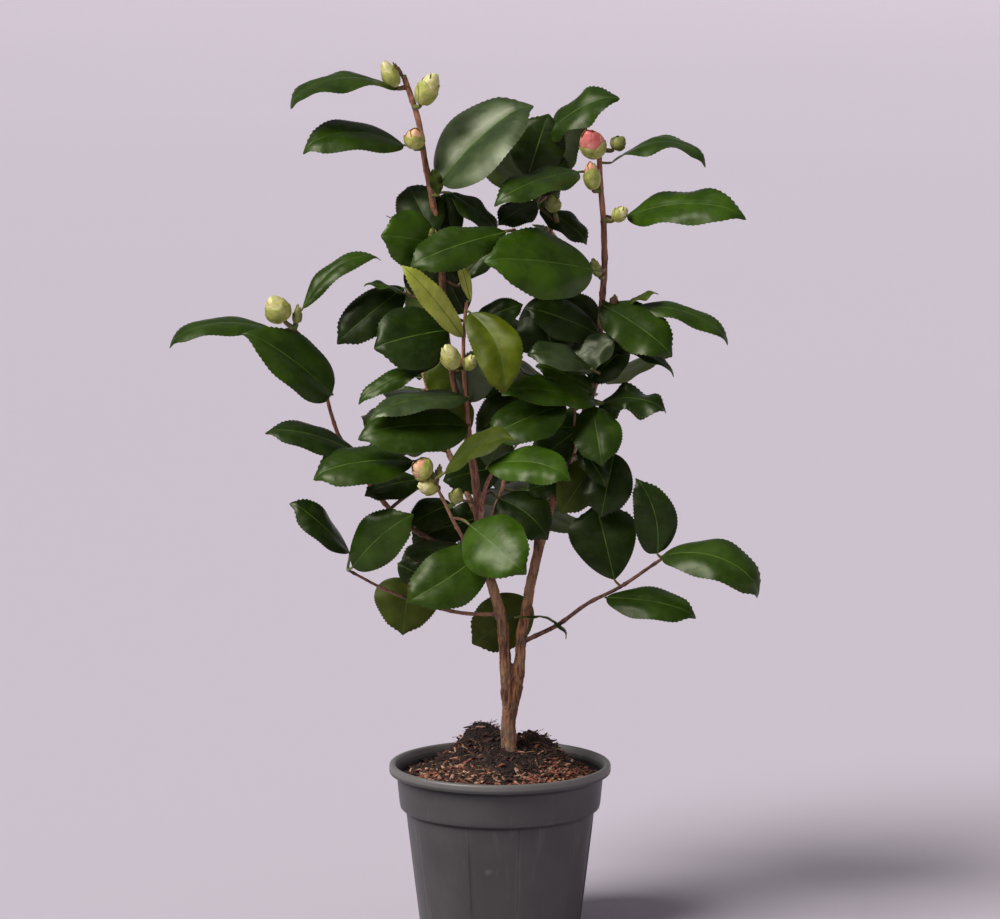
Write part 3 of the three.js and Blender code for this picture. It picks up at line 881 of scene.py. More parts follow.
def shoot_leaves(limb, start, count):
    """Leaves along a limb, each at the golden angle from the last."""
    rng = random.Random(limb)
    line = LIMB[limb][0]
    stations = np.linspace(0, 1, len(line))
    made = []
    turn = 0.0
    for k in range(count):
        share = start + (1 - start) * (k + 0.8) / count
        at = sampled(share, stations, line)
        axis = sampled(share, stations, ways_along(line))
        side = unit(np.cross(axis, (0, 0.3, 1.0)))
        over = np.cross(side, axis)
        opening = math.radians(78 - 45 * share ** 2)
        for _ in range(TURNS_TRIED):
            turn += GOLDEN_ANGLE
            radial = side * math.cos(turn) + over * math.sin(turn)
            way = axis * math.cos(opening) + radial * math.sin(opening)
            base = at + (0.6 * way + 0.4 * radial) * rng.uniform(6, 16) * MM
            length = rng.uniform(58, 82) * MM
            leaf = Leaf(base, base + way * length, rng.uniform(0.44, 0.54) * length / MM, rng.uniform(-50, -5),
                        rng.uniform(20, 55), rng.choice(["deep", "deep", "mid", "mid", "bright", "dusty"]),
                        rng.uniform(6, 16), rng.uniform(-3, 3), rng.uniform(0.6, 1.6))
            if leaf.tip[1] < FAR_BACK and not shows_through(leaf):
                made.append(leaf)
                break
    return made


PLACED = {node: [replace(leaf, base=in_box(node, leaf.base), tip=in_box(node, leaf.tip)) for leaf in leaves]
          for node, leaves in LEAVES.items()}
for node, shoot in BACK_SHOOTS.items():
    PLACED[node] = shoot_leaves(*shoot)
    print(node, len(PLACED[node]), "leaves")
print("leaves in all", sum(len(leaves) for leaves in PLACED.values()))

# %% [markdown]
# ## Joined leaves
# The leaves of one part of the crown are one mesh. That keeps the list of pieces short, and each piece still
# stands for the sprays it dresses, so the rough solids stay behind for collisions.

# %% Leaf pieces
for part in sorted({node.split("_")[1] for node in PLACED}):
    nodes = [node for node in PLACED if node.split("_")[1] == part]
    foliage = Builder()
    for node in nodes:
        for leaf in PLACED[node]:
            blade(foliage, leaf)
    foliage.make("leaves_" + part, LEAF_MATERIALS, nodes)

# %% [markdown]
# ## Flower buds
# A camellia bud is an egg of overlapping scales, the lowest outermost. Each scale is its own thin shell, set a
# golden angle from the last and lifted a little off the core. When a bud swells, the uppermost scales give way
# to petals, so those take the petal colour. Narrow pointed buds are next year's shoots.


# %% Bud table
@dataclass
class Bud:
    """The place is a share of the spray's box, and the size is the width and the height in millimetres."""

    spray: str
    share: tuple
    size: tuple
    axis: tuple
    kind: str


BUDS = [
    Bud("spray_left_buds", (0.15, 0.45, 0.45), (13, 23), (-0.5, 0, 0.95), "green"),
    Bud("spray_left_buds", (0.9, 0, 0.05), (17, 28), (0.45, -0.1, 0.95), "green"),
    Bud("spray_left_second", (1, 0.4, 0.6), (16, 17), (0.05, -0.5, 0.85), "blush"),
    Bud("spray_left_middle", (0.45, 0.4, 0.4), (8, 11), (-0.2, -0.5, 0.8), "olive"),
    Bud("spray_right_buds", (0.3, 0.25, 0.55), (20, 26), (-0.4, -0.6, 0.8), "pink"),
    Bud("spray_right_buds", (0.95, 0.65, 0.55), (12, 13), (0.6, 0, 0.8), "olive"),
    Bud("spray_right_buds", (0.3, 0.3, 0), (13, 23), (-0.1, -0.2, 1), "blush"),
    Bud("spray_right_second", (0.05, 0.65, 0.1), (11, 15), (0.7, -0.3, 0.7), "green"),
    Bud("spray_right_middle", (-0.1, 0.6, 1.6), (8, 16), (-0.4, -0.1, 0.9), "olive"),
    Bud("spray_back_upper", (0.6, 0.05, 0.45), (12, 15), (-0.2, -0.2, 1), "olive"),
    Bud("spray_arm_buds", (0.5, 0.3, 0.7), (20, 23), (-0.5, -0.2, 0.85), "green"),
    Bud("spray_arm_buds", (0.9, 0.5, 0.55), (8, 16), (0.1, 0, 1), "leaf"),
    Bud("spray_centre_young", (0.1, 0.6, 0.35), (15, 22), (-0.35, -0.3, 0.9), "green"),
    Bud("spray_centre_young", (0.35, 0.65, 0.3), (10, 14), (0.5, -0.3, 0.8), "green"),
    Bud("spray_left_lower", (0.6, 0, 0), (18, 16), (-0.8, -0.5, 0.35), "blush"),
    Bud("spray_left_lower", (0.65, 0.05, -0.2), (13, 17), (-0.9, -0.3, 0.1), "green"),
    Bud("spray_left_lower", (0.75, 0.25, -0.05), (6, 12), (0.2, -0.2, 1), "leaf"),
    Bud("spray_left_lower", (0.9, 0.1, -0.3), (11, 13), (0.2, -0.3, 0.9), "olive"),
    Bud("spray_left_buds", (0.3, 0.55, 0.6), (4, 14), (-0.55, 0, 0.85), "dark"),
    Bud("spray_right_middle", (0.05, 0.5, 1), (7, 9), (0.2, -0.3, 0.9), "dark"),
]
# Dark, light, roughness and size of the patches.
BUD_FINISHES = {
    "green_scale": (srgb(138, 148, 56), srgb(192, 190, 106), 0.38, 160),
    "cream_scale": (srgb(180, 178, 98), srgb(230, 222, 162), 0.4, 160),
    "olive_scale": (srgb(112, 124, 52), srgb(150, 150, 78), 0.42, 160),
    "pink_petal": (srgb(214, 92, 92), srgb(238, 150, 138), 0.42, 130),
    "blush_petal": (srgb(226, 140, 122), srgb(222, 196, 140), 0.42, 130),
    "bud_edge": (srgb(112, 96, 44), srgb(150, 136, 74), 0.5, 200),
    "shoot_scale": (srgb(70, 48, 34), srgb(112, 78, 48), 0.45, 200),
}
# Outer scales, upper scales, how many there are, and the share of them that are outer ones.
BUD_LOOKS = {
    "green": ("green_scale", "cream_scale", 10, 0.4),
    "olive": ("olive_scale", "olive_scale", 8, 0.5),
    "blush": ("green_scale", "blush_petal", 11, 0.55),
    "pink": ("green_scale", "pink_petal", 12, 0.25),
    "leaf": ("olive_scale", "olive_scale", 6, 0.5),
    "dark": ("shoot_scale", "shoot_scale", 6, 0.5),
}
print("buds", len(BUDS))

# %% Buds
SCALE_SKIN = 0.35 * MM
SCALE_ROWS = 9
SCALE_COLUMNS = 8
SCALE_REACH = math.radians(66)
CORE_RINGS = 13
CORE_SIDES = 12


def bud_width(share, pointed):
    """Share of the greatest radius at a share of the bud's height."""
    if pointed:
        return np.sin(math.pi * share ** 0.62) ** 0.9 * (1 - 0.35 * share)
    return np.clip(np.sin(math.pi * share ** 0.8), 0, 1) ** 0.66 * (1 - 0.12 * share)


def bud(builder, shape):
    """Adds a core and its scales, and returns the place where its stalk comes in and the way it points."""
    finish_number = list(BUD_FINISHES).index
    axis = unit(np.array(shape.axis, float))
    side = unit(np.cross(axis, (0.2, 1.0, 0.1)))
    over = np.cross(axis, side)
    wide, tall = shape.size[0] * MM / 2, shape.size[1] * MM
    pointed = shape.kind in ("leaf", "dark")
    foot = in_box(shape.spray, shape.share) - axis * tall / 2
    outer, upper, count, outer_share = BUD_LOOKS[shape.kind]
    heights = np.linspace(0.02, 0.985, CORE_RINGS)
    core_radii = np.maximum(wide * 0.86 * bud_width(heights, pointed), 0.2 * MM)
    builder.tube(foot + np.outer(heights * tall * 0.97, axis), core_radii, CORE_SIDES, finish_number(upper))
    climb = np.linspace(0, 1, SCALE_ROWS)
    reach = SCALE_REACH * np.sqrt(np.clip(1 - climb ** 2.6, 0, 1)) + 0.03
    for k in range(count):
        level = k / count
        start = 0.02 + 0.5 * level
        share = np.linspace(start, min(start + 0.5, 0.985), SCALE_ROWS)
        turn = k * GOLDEN_ANGLE + reach[:, None] * np.linspace(-1, 1, SCALE_COLUMNS)
        lift = wide * (0.16 - 0.12 * level) + 0.8 * MM * climb ** 3
        radius = wide * 0.9 * bud_width(share, pointed) + lift
        out = np.cos(turn)[:, :, None] * side + np.sin(turn)[:, :, None] * over
        top = foot + (share * tall)[:, None, None] * axis + radius[:, None, None] * out
        finish = finish_number(upper if level > outer_share else outer)
        builder.shell(top, top - SCALE_SKIN * out, [finish] * (SCALE_COLUMNS - 1), finish, finish_number("bud_edge"))
    return foot, axis


buds = Builder()
BUD_FEET = [bud(buds, shape) for shape in BUDS]
buds.make("buds", [surface(name, plain_paint(*look)) for name, look in BUD_FINISHES.items()],
          [node for node in SPRAYS if node not in PLACED])

# %% [markdown]
# ## Twigs and stalks
# Every leaf and bud has to hang on something. The limbs are the first carriers. Leaves are taken in order of
# their distance from them: a near one gets only its stalk, a far one gets a curved twig with the stalk at its
# end, and that twig becomes a carrier for the next. A carrier above the leaf is a poor choice, because shoots
# grow upwards, so height counts against it.

# %% Twigs
STALK_LENGTH = 8 * MM
STALK_RADIUS = 1.0 * MM
BUD_STALK = 1.9
TWIG_STEP = 2 * MM
TWIG_TIP = 1.1 * MM
TWIG_SIDES = 10
TWIG_BARK, GREEN_STALK = 0, 1


class Carriers:
    """Points on limbs and twigs that something can grow from."""

    def __init__(self):
        self.points = np.empty((0, 3))
        self.ways = np.empty((0, 3))
        self.radii = np.empty(0)

    def add(self, line, radii):
        self.points = np.vstack([self.points, line])
        self.ways = np.vstack([self.ways, ways_along(line)])
        self.radii = np.concatenate([self.radii, radii])

    def cost(self, place):
        steps = self.points - place
        return np.linalg.norm(steps, axis=1) + 0.8 * np.maximum(steps[:, 2], 0)


def curve_between(start, end, start_pull, end_pull):
    """A smooth path that leaves start along one pull and arrives at end along the other."""
    count = max(6, int(np.linalg.norm(end - start) / TWIG_STEP))
    t = np.linspace(0, 1, count)[:, None]
    return ((2 * t ** 3 - 3 * t ** 2 + 1) * start + (t ** 3 - 2 * t ** 2 + t) * start_pull
            + (3 * t ** 2 - 2 * t ** 3) * end + (t ** 3 - t ** 2) * end_pull)


def leaf_start(leaf):
    """The direction in which a leaf's midrib sets out."""
    way, up, _, _ = leaf_axes(leaf)
    tilt = math.radians(leaf.droop) * 0.4
    return way * math.cos(tilt) + up * math.sin(tilt)


def grow_to(builder, carriers, place, arriving, plump):
    """Adds a stalk, or a twig with a stalk, from the best carrier to a leaf, or to a bud if it is plump."""
    best = np.argmin(carriers.cost(place))
    start, way, thick = carriers.points[best], carriers.ways[best], carriers.radii[best]
    gap = np.linalg.norm(place - start)
    if gap < 2 * STALK_LENGTH:
        path = curve_between(start, place, 0.5 * gap * way, 0.8 * gap * arriving)
        taper = 1.25 - 0.4 * np.linspace(0, 1, len(path)) ** 0.7
    else:
        elbow = place - arriving * STALK_LENGTH
        lift = np.array([0, 0, 0.12])
        run = np.linalg.norm(elbow - start)
        ahead = max(0.1, 0.6 * arriving.dot(elbow - start) / run)
        along = max(0.12, 0.7 * way.dot(elbow - start) / run)
        twig = curve_between(start, elbow, run * (along * way + lift), run * (ahead * arriving + lift))
        radii = np.linspace(min(thick * 0.8, 1.15 * MM + run * 0.008), TWIG_TIP, len(twig))
        builder.tube(twig, radii, TWIG_SIDES, TWIG_BARK)
        carriers.add(twig[2:], radii[2:])
        path = curve_between(elbow, place, arriving * STALK_LENGTH, arriving * STALK_LENGTH)
        taper = np.linspace(1.1, 0.85, len(path))
    builder.tube(path, plump * STALK_RADIUS * taper, TWIG_SIDES, GREEN_STALK)


def paint_twig(place):
    streaks = place.stretched(1, 1, 0.3).clouds(420, detail=4).within(0.3, 0.7)
    return {
        "Base Color": streaks.between(srgb(74, 50, 34), srgb(122, 86, 58)),
        "Roughness": 0.5 + 0.2 * streaks,
        "Normal": streaks.bump(0.0003, 0.6),
    }


def paint_stalk(place):
    blush = place.clouds(120).within(0.4, 0.65)
    return {"Base Color": blush.between(srgb(92, 108, 42), srgb(112, 74, 44)), "Roughness": 0.4 + 0.1 * blush}


carriers = Carriers()
for line, radii in LIMB.values():
    carriers.add(line, radii)
ends = [(leaf.base, leaf_start(leaf), 1.0) for leaves in PLACED.values() for leaf in leaves]
ends += [(foot, axis, BUD_STALK) for foot, axis in BUD_FEET]
ends.sort(key=lambda end: carriers.cost(end[0]).min())
twigs = Builder()
for end in ends:
    grow_to(twigs, carriers, *end)
twigs.make("twigs", [surface("twig_bark", paint_twig), surface("green_stalk", paint_stalk)])

# %% [markdown]
# ## Trunk and limbs under one bark
# The limbs could stay separate tubes, but their joints would show as hard rings. A voxel remesh makes them one
# skin, and a few rounds of smoothing turn each joint into a small fillet. Then every corner is pushed in or out
# by a noise stretched along its limb, which gives ridges to old wood and leaves young shoots nearly smooth.

# %% Limb skin
VOXEL = 0.8 * MM
LIMB_SIDES = 20

core = Builder()
for name in LIMBS:
    if name != "trunk":
        core.tube(*LIMB[name], LIMB_SIDES, 0)
trunk = corners_of("trunk").reshape(-1, 3)
core.add(trunk, np.arange(len(trunk)).reshape(-1, 3), [])
limb_mesh = core.mesh("limb_core")
welded = bmesh.new()
welded.from_mesh(limb_mesh)
bmesh.ops.remove_doubles(welded, verts=welded.verts, dist=1e-6)
welded.to_mesh(limb_mesh)
welded.free()


def modified(name, mesh, *modifiers):
    """The mesh as the given modifiers leave it. Each is a kind and its settings."""
    carrier = link(name, mesh)
    for kind, settings in modifiers:
        modifier = carrier.modifiers.new(name, kind)
        for key, setting in settings.items():
            if key in modifier.bl_rna.properties:
                setattr(modifier, key, setting)
            else:
                modifier[key] = setting
    shaped = carrier.evaluated_get(bpy.context.evaluated_depsgraph_get())
    result = bpy.data.meshes.new_from_object(shaped)
    bpy.data.objects.remove(carrier)
    return result


limb_mesh = modified("limb_skin", limb_mesh,
                     ("REMESH", {"mode": "VOXEL", "voxel_size": VOXEL, "use_smooth_shade": True}),
                     ("SMOOTH", {"factor": 0.5, "iterations": 5}))
print("limb skin", len(limb_mesh.polygons), "faces")

# %% Bark relief
YOUNG_RADIUS = 1.7 * MM
OLD_RADIUS = 4.6 * MM
NODE_GAP = 27 * MM
RING_WIDTH = 1.6 * MM
RIDGE_SIZE = 2.6 * MM
RIDGE_LENGTH = 13 * MM

middles, thickness = (np.concatenate(rows) for rows in zip(*LIMB.values()))
stations = np.concatenate([np.arange(len(line)) * LIMB_STEP for line, _ in LIMB.values()])
tree = kdtree.KDTree(len(middles))
for k, middle in enumerate(middles):
    tree.insert(middle, k)
tree.balance()


def bark_height(place):
    """Height of the bark over a place on the skin, and the age of the wood there from 0 to 1."""
    middle, nearest, _ = tree.find(place)
    age = float(ramp(thickness[nearest], YOUNG_RADIUS, OLD_RADIUS))
    around = (place - middle) / RIDGE_SIZE
    along = stations[nearest] / RIDGE_LENGTH
    ridges = noise.noise(Vector((around.x, around.y, around.z * 0.35 + along)))
    knots = noise.noise(Vector((around.x * 0.3, around.y * 0.3, along * 1.6 + 40)))
    flakes = noise.noise(place * 520)
    step = abs(stations[nearest] / NODE_GAP % 1 - 0.5) * NODE_GAP
    ring = math.exp(-(step / RING_WIDTH) ** 2) * (1 - 0.6 * age) * (0.6 + 0.4 * knots)
    fissure = max(0.0, 0.3 - abs(ridges)) / 0.3
    height = age * (0.35 * ridges - 0.75 * fissure ** 2 + 0.2 * flakes) + (0.12 + 0.5 * age) * knots
    return (height + 0.05 * flakes + 0.55 * ring) * MM, age


skin_places = np.empty(3 * len(limb_mesh.vertices))
limb_mesh.vertices.foreach_get("co", skin_places)
skin_normals = np.empty(3 * len(limb_mesh.vertices))
limb_mesh.vertex_normals.foreach_get("vector", skin_normals)
heights, ages = zip(*(bark_height(Vector(place)) for place in skin_places.reshape(-1, 3)))
limb_mesh.vertices.foreach_set("co", skin_places + skin_normals * np.repeat(heights, 3))
limb_mesh.attributes.new("age", "FLOAT", "POINT").data.foreach_set("value", ages)


def paint_bark(place):
    age = place.node("ShaderNodeAttribute", {"attribute_name": "age"}, output=2)
    height = place.coordinate(2)
    grain = place.stretched(1, 1, 0.16).clouds(420, detail=5).within(0.36, 0.64)
    blotches = place.clouds(60, detail=4).within(0.42, 0.66)
    pale = place.clouds(32, detail=3).within(0.5, 0.66) * height.within(0.1, 0.4)
    specks = place.cells(900).within(0.1, 0.45)
    old = grain.between(srgb(52, 31, 20), srgb(150, 99, 65))
    old = (blotches * 0.45).between(old, srgb(172, 140, 108))
    # Young bark is darker low down and brighter and redder higher up. This is partly the younger wood at the top and
    # partly painted shade on the low limbs.
    low = grain.between(srgb(70, 42, 29), srgb(126, 82, 58))
    high = grain.between(srgb(100, 56, 38), srgb(180, 116, 82))
    young = (pale * 0.6).between(height.within(0.28, 0.40).between(low, high), srgb(206, 156, 122))
    foot = 1 - height.within(0.150, 0.190)
    shown = (0.55 * foot).between(age.within(0.02, 0.45).between(young, old), srgb(146, 116, 94))
    return {
        "Base Color": (0.25 * (1 - specks)).between(shown, srgb(60, 42, 30)),
        "Roughness": 0.42 + 0.38 * age + 0.1 * blotches,
        "Normal": (grain + 0.3 * specks).bump(0.0006, 0.8),
    }


limb_mesh.shade_smooth()
dress("limbs", limb_mesh, [surface("bark", paint_bark)], LIMBS)

# %% [markdown]
# ## The soil
# The packed soil is a smooth plug. Its true top is lumpy peat, so rays are dropped on the plug to find its
# height, and noise of three sizes adds crumbs and hollows. The plug's side and underside are copied too, which
# keeps it a closed body that fills the pot.

# %% Soil body
SOIL_RINGS = 72
SOIL_SECTORS = 200
SOIL_EDGE = 120.5 * MM
SOIL_CHAMFER = 0.3 * MM
soil_tree = joined_solids(["soil"])


def soil_radius(level):
    """How far out the plug reaches at a height, found by a ray from outside."""
    hit = soil_tree.ray_cast(Vector((0.2, 0.0007, level)), Vector((-1, 0, 0)))[0]
    return math.hypot(hit.x, hit.y)


def soil_level(x, y):
    hit = soil_tree.ray_cast(Vector((x, y, 0.3)), Vector((0, 0, -1)))[0]
    return hit.z if hit else SOIL_EDGE


def soil_relief(x, y):
    coarse, middling, fine = (noise.noise(Vector((x, y, slice)) * scale)
                              for slice, scale in ((0.1, 60), (0.3, 170), (0.6, 420)))
    return (1.6 * coarse + 1.5 * middling + 0.8 * fine) * MM


top_radius = soil_radius(SOIL_EDGE - 0.5 * MM)
soil_places = []
for ring in range(1, SOIL_RINGS + 1):
    calm = min(1.0, (SOIL_RINGS - ring) / 3)
    for x, y, _ in circle(top_radius * ring / SOIL_RINGS, 0, SOIL_SECTORS):
        soil_places.append((x, y, soil_level(0.997 * x, 0.997 * y) + soil_relief(x, y) * calm))
soil_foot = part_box("soil")[0].z
side_levels = [0.11, 0.1, 0.096, 0.09, 0.06, 0.03, soil_foot + SOIL_CHAMFER]
side_radii = [soil_radius(level) for level in side_levels]
for level, radius in [*zip(side_levels, side_radii), (soil_foot, side_radii[-1] - SOIL_CHAMFER)]:
    soil_places += circle(radius, level, SOIL_SECTORS)
centre = len(soil_places)
foot_ring = centre - SOIL_SECTORS
soil_faces = disc(centre // SOIL_SECTORS, SOIL_SECTORS, centre)
soil_faces += [(centre + 1, foot_ring + (k + 1) % SOIL_SECTORS, foot_ring + k) for k in range(SOIL_SECTORS)]
soil_places += [(0, 0, soil_level(0, 0)), (0, 0, soil_foot)]
soil_mesh = mesh_of("soil_body", soil_places, soil_faces)
soil_mesh.shade_smooth()


def paint_peat(place):
    lumps = place.clouds(160, detail=5).within(0.3, 0.7)
    fine = place.clouds(900, detail=4).within(0.3, 0.7)
    damp = place.clouds(30).within(0.45, 0.6)
    peat = (lumps * 0.6 + fine * 0.4).between(srgb(15, 9, 8), srgb(48, 30, 24))
    return {
        "Base Color": (damp * 0.35).between(peat, srgb(18, 10, 9)),
        "Roughness": 0.95 - 0.15 * damp,
        "Normal": (0.7 * lumps + 0.5 * fine).bump(0.0012, 0.9),
    }


dress("soil_body", soil_mesh, [surface("peat", paint_peat)], ["soil"])

# %% [markdown]
# ## Mulch, crumbs and fibres
# Thousands of chips and crumbs lie on the peat. Placing them by hand would take days, so a small Geometry Nodes
# tree does it: points scattered on the soil's top by a painted density, a random shape on each, turned and sized
# at random, then made real and given its finish. The same tree serves chips, crumbs, fibres and moss.


# %% Scatter tree
def scatter_tree():
    tree = bpy.data.node_groups.new("scatter_on_soil", "GeometryNodeTree")
    sockets = {"Geometry": "Geometry", "Shapes": "Collection", "Finish": "Material", "Count per m2": "Float",
               "Smallest": "Float", "Largest": "Float", "Tilt": "Float", "Seed": "Int"}
    for name, kind in sockets.items():
        tree.interface.new_socket(name=name, in_out="INPUT", socket_type="NodeSocket" + kind)
    tree.interface.new_socket(name="Geometry", in_out="OUTPUT", socket_type="NodeSocketGeometry")
    entry = tree.nodes.new("NodeGroupInput")
    start, shapes, finish, count, smallest, largest, tilt, seed = (
        Field(tree, entry.outputs[name]) for name in sockets)
    density = start.node("GeometryNodeInputNamedAttribute", {"data_type": "FLOAT"}, Name="density")
    points = start.node("GeometryNodeDistributePointsOnFaces", Mesh=start, Density=density * count, Seed=seed)
    low = start.node("ShaderNodeCombineXYZ", X=0.0 - tilt, Y=0.0 - tilt, Z=0.0)
    high = start.node("ShaderNodeCombineXYZ", X=tilt, Y=tilt, Z=2 * math.pi)
    turned = start.node("FunctionNodeRandomValue", {"data_type": "FLOAT_VECTOR"}, i0=low, i1=high, Seed=seed)
    sized = start.node("FunctionNodeRandomValue", {"data_type": "FLOAT"}, output=1, i2=smallest, i3=largest,
                       Seed=seed + 1)
    chosen = start.node("GeometryNodeCollectionInfo", Collection=shapes, Separate_Children=True, Reset_Children=True)
    laid = start.node("GeometryNodeInstanceOnPoints", Points=points, Instance=chosen, Pick_Instance=True,
                      Rotation=turned, Scale=sized)
    real = start.node("GeometryNodeRealizeInstances", Geometry=laid)
    finished = start.node("GeometryNodeSetMaterial", Geometry=real, Material=finish)
    put(tree, tree.nodes.new("NodeGroupOutput").inputs["Geometry"], finished)
    return tree


SCATTER = scatter_tree()
SOCKET_KEYS = {item.name: item.identifier for item in SCATTER.interface.items_tree if item.in_out == "INPUT"}
print("scatter tree", len(SCATTER.nodes), "nodes")

# %% Shapes to scatter
CHIP_SIDES = 7


def collection_of(meshes):
    """Meshes as objects of a collection that the scene doesn't show."""
    group = bpy.data.collections.new("shapes")
    for mesh in meshes:
        group.objects.link(bpy.data.objects.new(mesh.name, mesh))
    return group


def chip(name, rng, long, thick):
    """A flat splinter of bark, one unit wide, with a ragged outline and a bevelled top."""
    outline_points = []
    for k in range(CHIP_SIDES):
        turn = 2 * math.pi * k / CHIP_SIDES + rng.uniform(-0.3, 0.3)
        outline_points.append((long * math.cos(turn) * rng.uniform(0.7, 1.1), math.sin(turn) * rng.uniform(0.6, 1.1)))
    levels = ((0.82, -thick), (1.0, -0.2 * thick), (0.97, 0.4 * thick), (0.75, thick * rng.uniform(0.8, 1.2)))
    places = [(x * share, y * share, z + 0.15 * thick * rng.random())
              for share, z in levels for x, y in outline_points]
    caps = [tuple(range(CHIP_SIDES))[::-1], tuple(range(3 * CHIP_SIDES, 4 * CHIP_SIDES))]
    return mesh_of(name, places, caps + bands(len(levels), CHIP_SIDES))


def fibre(name, rng):
    """A thin curved root hair or straw, one unit long each way from its middle."""
    t = np.linspace(-1, 1, 7)
    bow, rise = rng.uniform(-0.4, 0.4), rng.uniform(0.02, 0.18)
    hair = Builder()
    hair.tube(np.column_stack([t, bow * t ** 2 + 0.1 * np.sin(5 * t), rise * (1 - t ** 2)]),
              np.linspace(0.035, 0.02, 7), 4, 0)
    return hair.mesh(name)


shape_rng = random.Random(5)
chips = collection_of([chip(f"chip_{k}", shape_rng, shape_rng.uniform(1.8, 4.2), 0.26) for k in range(10)])
crumbs = collection_of([chip(f"crumb_{k}", shape_rng, 1.1, 0.7) for k in range(6)])
fibres = collection_of([fibre(f"fibre_{k}", shape_rng) for k in range(8)])


# %% Lay the mulch
def near(x, y, at_x, at_y, spread):
    return math.exp(-((x - at_x * MM) ** 2 + (y - at_y * MM) ** 2) / (spread * MM) ** 2)


def within_wall(x, y, radius):
    """1 well inside a circle of that many millimetres and 0 near the wall, so nothing pokes through."""
    return 1 - float(ramp(math.hypot(x, y) / MM, radius - 2, radius))


def chip_share(x, y):
    patch = 0.5 + 0.7 * noise.noise(Vector((x, y, 0.9)) * 55)
    bare = near(x, y, 2, 6, 44) + 0.7 * near(x, y, 8, -44, 22)
    thick = 0.16 + 1.7 * near(x, y, -50, -38, 29) + 1.5 * near(x, y, 50, -40, 26)
    thick += 0.5 * near(x, y, 10, -68, 22) + 0.4 * near(x, y, 10, 66, 30)
    return max(0.0, patch * (1 - bare) * thick) * within_wall(x, y, 73)


def crumb_share(x, y):
    return (0.5 + 0.5 * noise.noise(Vector((x, y, 2.2)) * 40)) * within_wall(x, y, 76)


def fibre_share(x, y):
    return crumb_share(x, y) * within_wall(x, y, 66)


def moss_share(x, y):
    return near(x, y, 55, -8, 20) + 0.5 * near(x, y, -62, -22, 14)


def wood_paint(dark, light):
    def paint(place):
        grain = place.stretched(1, 0.3, 1).clouds(700, detail=4).within(0.3, 0.7)
        stain = place.clouds(90).within(0.4, 0.62)
        return {
            "Base Color": (0.45 * stain).between(grain.between(dark, light), srgb(74, 42, 30)),
            "Roughness": 0.72 + 0.15 * grain,
            "Normal": grain.bump(0.0004, 0.7),
        }
    return paint


# Name, shapes, where, dark, light, count per square metre, smallest and largest in millimetres, tilt and seed.
MULCH = (
    ("chips_red", chips, chip_share, srgb(112, 54, 40), srgb(176, 106, 80), 190000, 0.7, 2.2, 0.6, 11),
    ("chips_tan", chips, chip_share, srgb(150, 98, 74), srgb(222, 176, 146), 150000, 0.6, 2.0, 0.7, 12),
    ("chips_dark", chips, crumb_share, srgb(34, 20, 16), srgb(74, 46, 36), 60000, 0.8, 2.4, 0.7, 13),
    ("crumbs", crumbs, crumb_share, srgb(16, 9, 8), srgb(42, 26, 21), 330000, 0.5, 1.4, 1.5, 14),
    ("fibres_pale", fibres, fibre_share, srgb(132, 104, 76), srgb(190, 160, 120), 24000, 3.0, 8.0, 0.4, 15),
    ("fibres_dark", fibres, fibre_share, srgb(30, 18, 15), srgb(72, 48, 37), 80000, 3.0, 8.0, 0.7, 16),
    ("moss", crumbs, moss_share, srgb(56, 66, 26), srgb(96, 106, 44), 230000, 0.4, 1.0, 1.5, 17),
)
top_places = soil_places[:SOIL_RINGS * SOIL_SECTORS]
top_faces = [face for face in soil_faces if max(face) < len(top_places) - SOIL_SECTORS]
for name, shapes, share, dark, light, count, smallest, largest, tilt, seed in MULCH:
    ground = mesh_of(name + "_ground", top_places, top_faces)
    density = [share(x, y) for x, y, _ in top_places]
    ground.attributes.new("density", "FLOAT", "POINT").data.foreach_set("value", density)
    values = {"Shapes": shapes, "Finish": surface(name, wood_paint(dark, light)), "Count per m2": float(count),
              "Smallest": smallest * MM, "Largest": largest * MM, "Tilt": tilt, "Seed": seed}
    values = {SOCKET_KEYS[socket]: value for socket, value in values.items()}
    dress(name, modified(name, ground, ("NODES", {"node_group": SCATTER, **values})), [])
for group in (chips, crumbs, fibres):
    for shape in list(group.objects):
        bpy.data.objects.remove(shape)
    bpy.data.collections.remove(group)

# %% [markdown]
# ## The pot
# A nursery pot is blown or moulded in one thin wall: a tapering body, a step out to a collar, and a rolled lip
# to lift it by. Turning one closed profile gives all of that, inner wall included. Shallow flats between broad
# ribs are pressed into the body, so those points move in a little by their angle and height.

# %% Pot profile
POT_SEGMENTS = 288
PANELS = 5
PANEL_WIDTH = 31.0
PANEL_DEPTH = 0.9
PANEL_TURN = -94.0

# Radius and height in millimetres, from the middle of the underside round the wall to the middle of the floor.
# The first 13 are the outside of the body, where the panels are.
BODY_ROWS = 13
POT_PROFILE = [
    (0.2, 0), (38, 0), (59.6, 0), (60.8, 0.4), (61.4, 1.6),
    (63, 14), (65, 30.5), (67, 47), (69, 64), (71, 80.5), (72.4, 93.6), (72.5, 95.6), (72.3, 96.8), (72.5, 97.2),
    (74.8, 97.3), (75.9, 97.5), (76.6, 98.2), (77.0, 99.8), (77.4, 102),
    (78, 108), (78.7, 115), (79.2, 121.5), (78.9, 123.6), (78.8, 124.8),
    (81.6, 124.9), (83.8, 124.9), (84.8, 125.2), (85.2, 126.2),
    (85.2, 127.8), (85.2, 129.9), (84.9, 131), (84.2, 131.7), (83.3, 132),
    (82.2, 132), (81.2, 131.7), (80.5, 130.9), (80.2, 129.6),
    (77.9, 124), (77.3, 118), (76.6, 111), (75.9, 104), (75.4, 101.2), (74.4, 99.8), (72.8, 98.8), (71.6, 98),
    (71.2, 96.4), (69.3, 80.5), (67.3, 64), (65.3, 47), (63.3, 30.5), (61.3, 14), (59.9, 3.4), (59.2, 2.6),
    (58, 2.4), (38, 2.4), (0.2, 2.4),
]


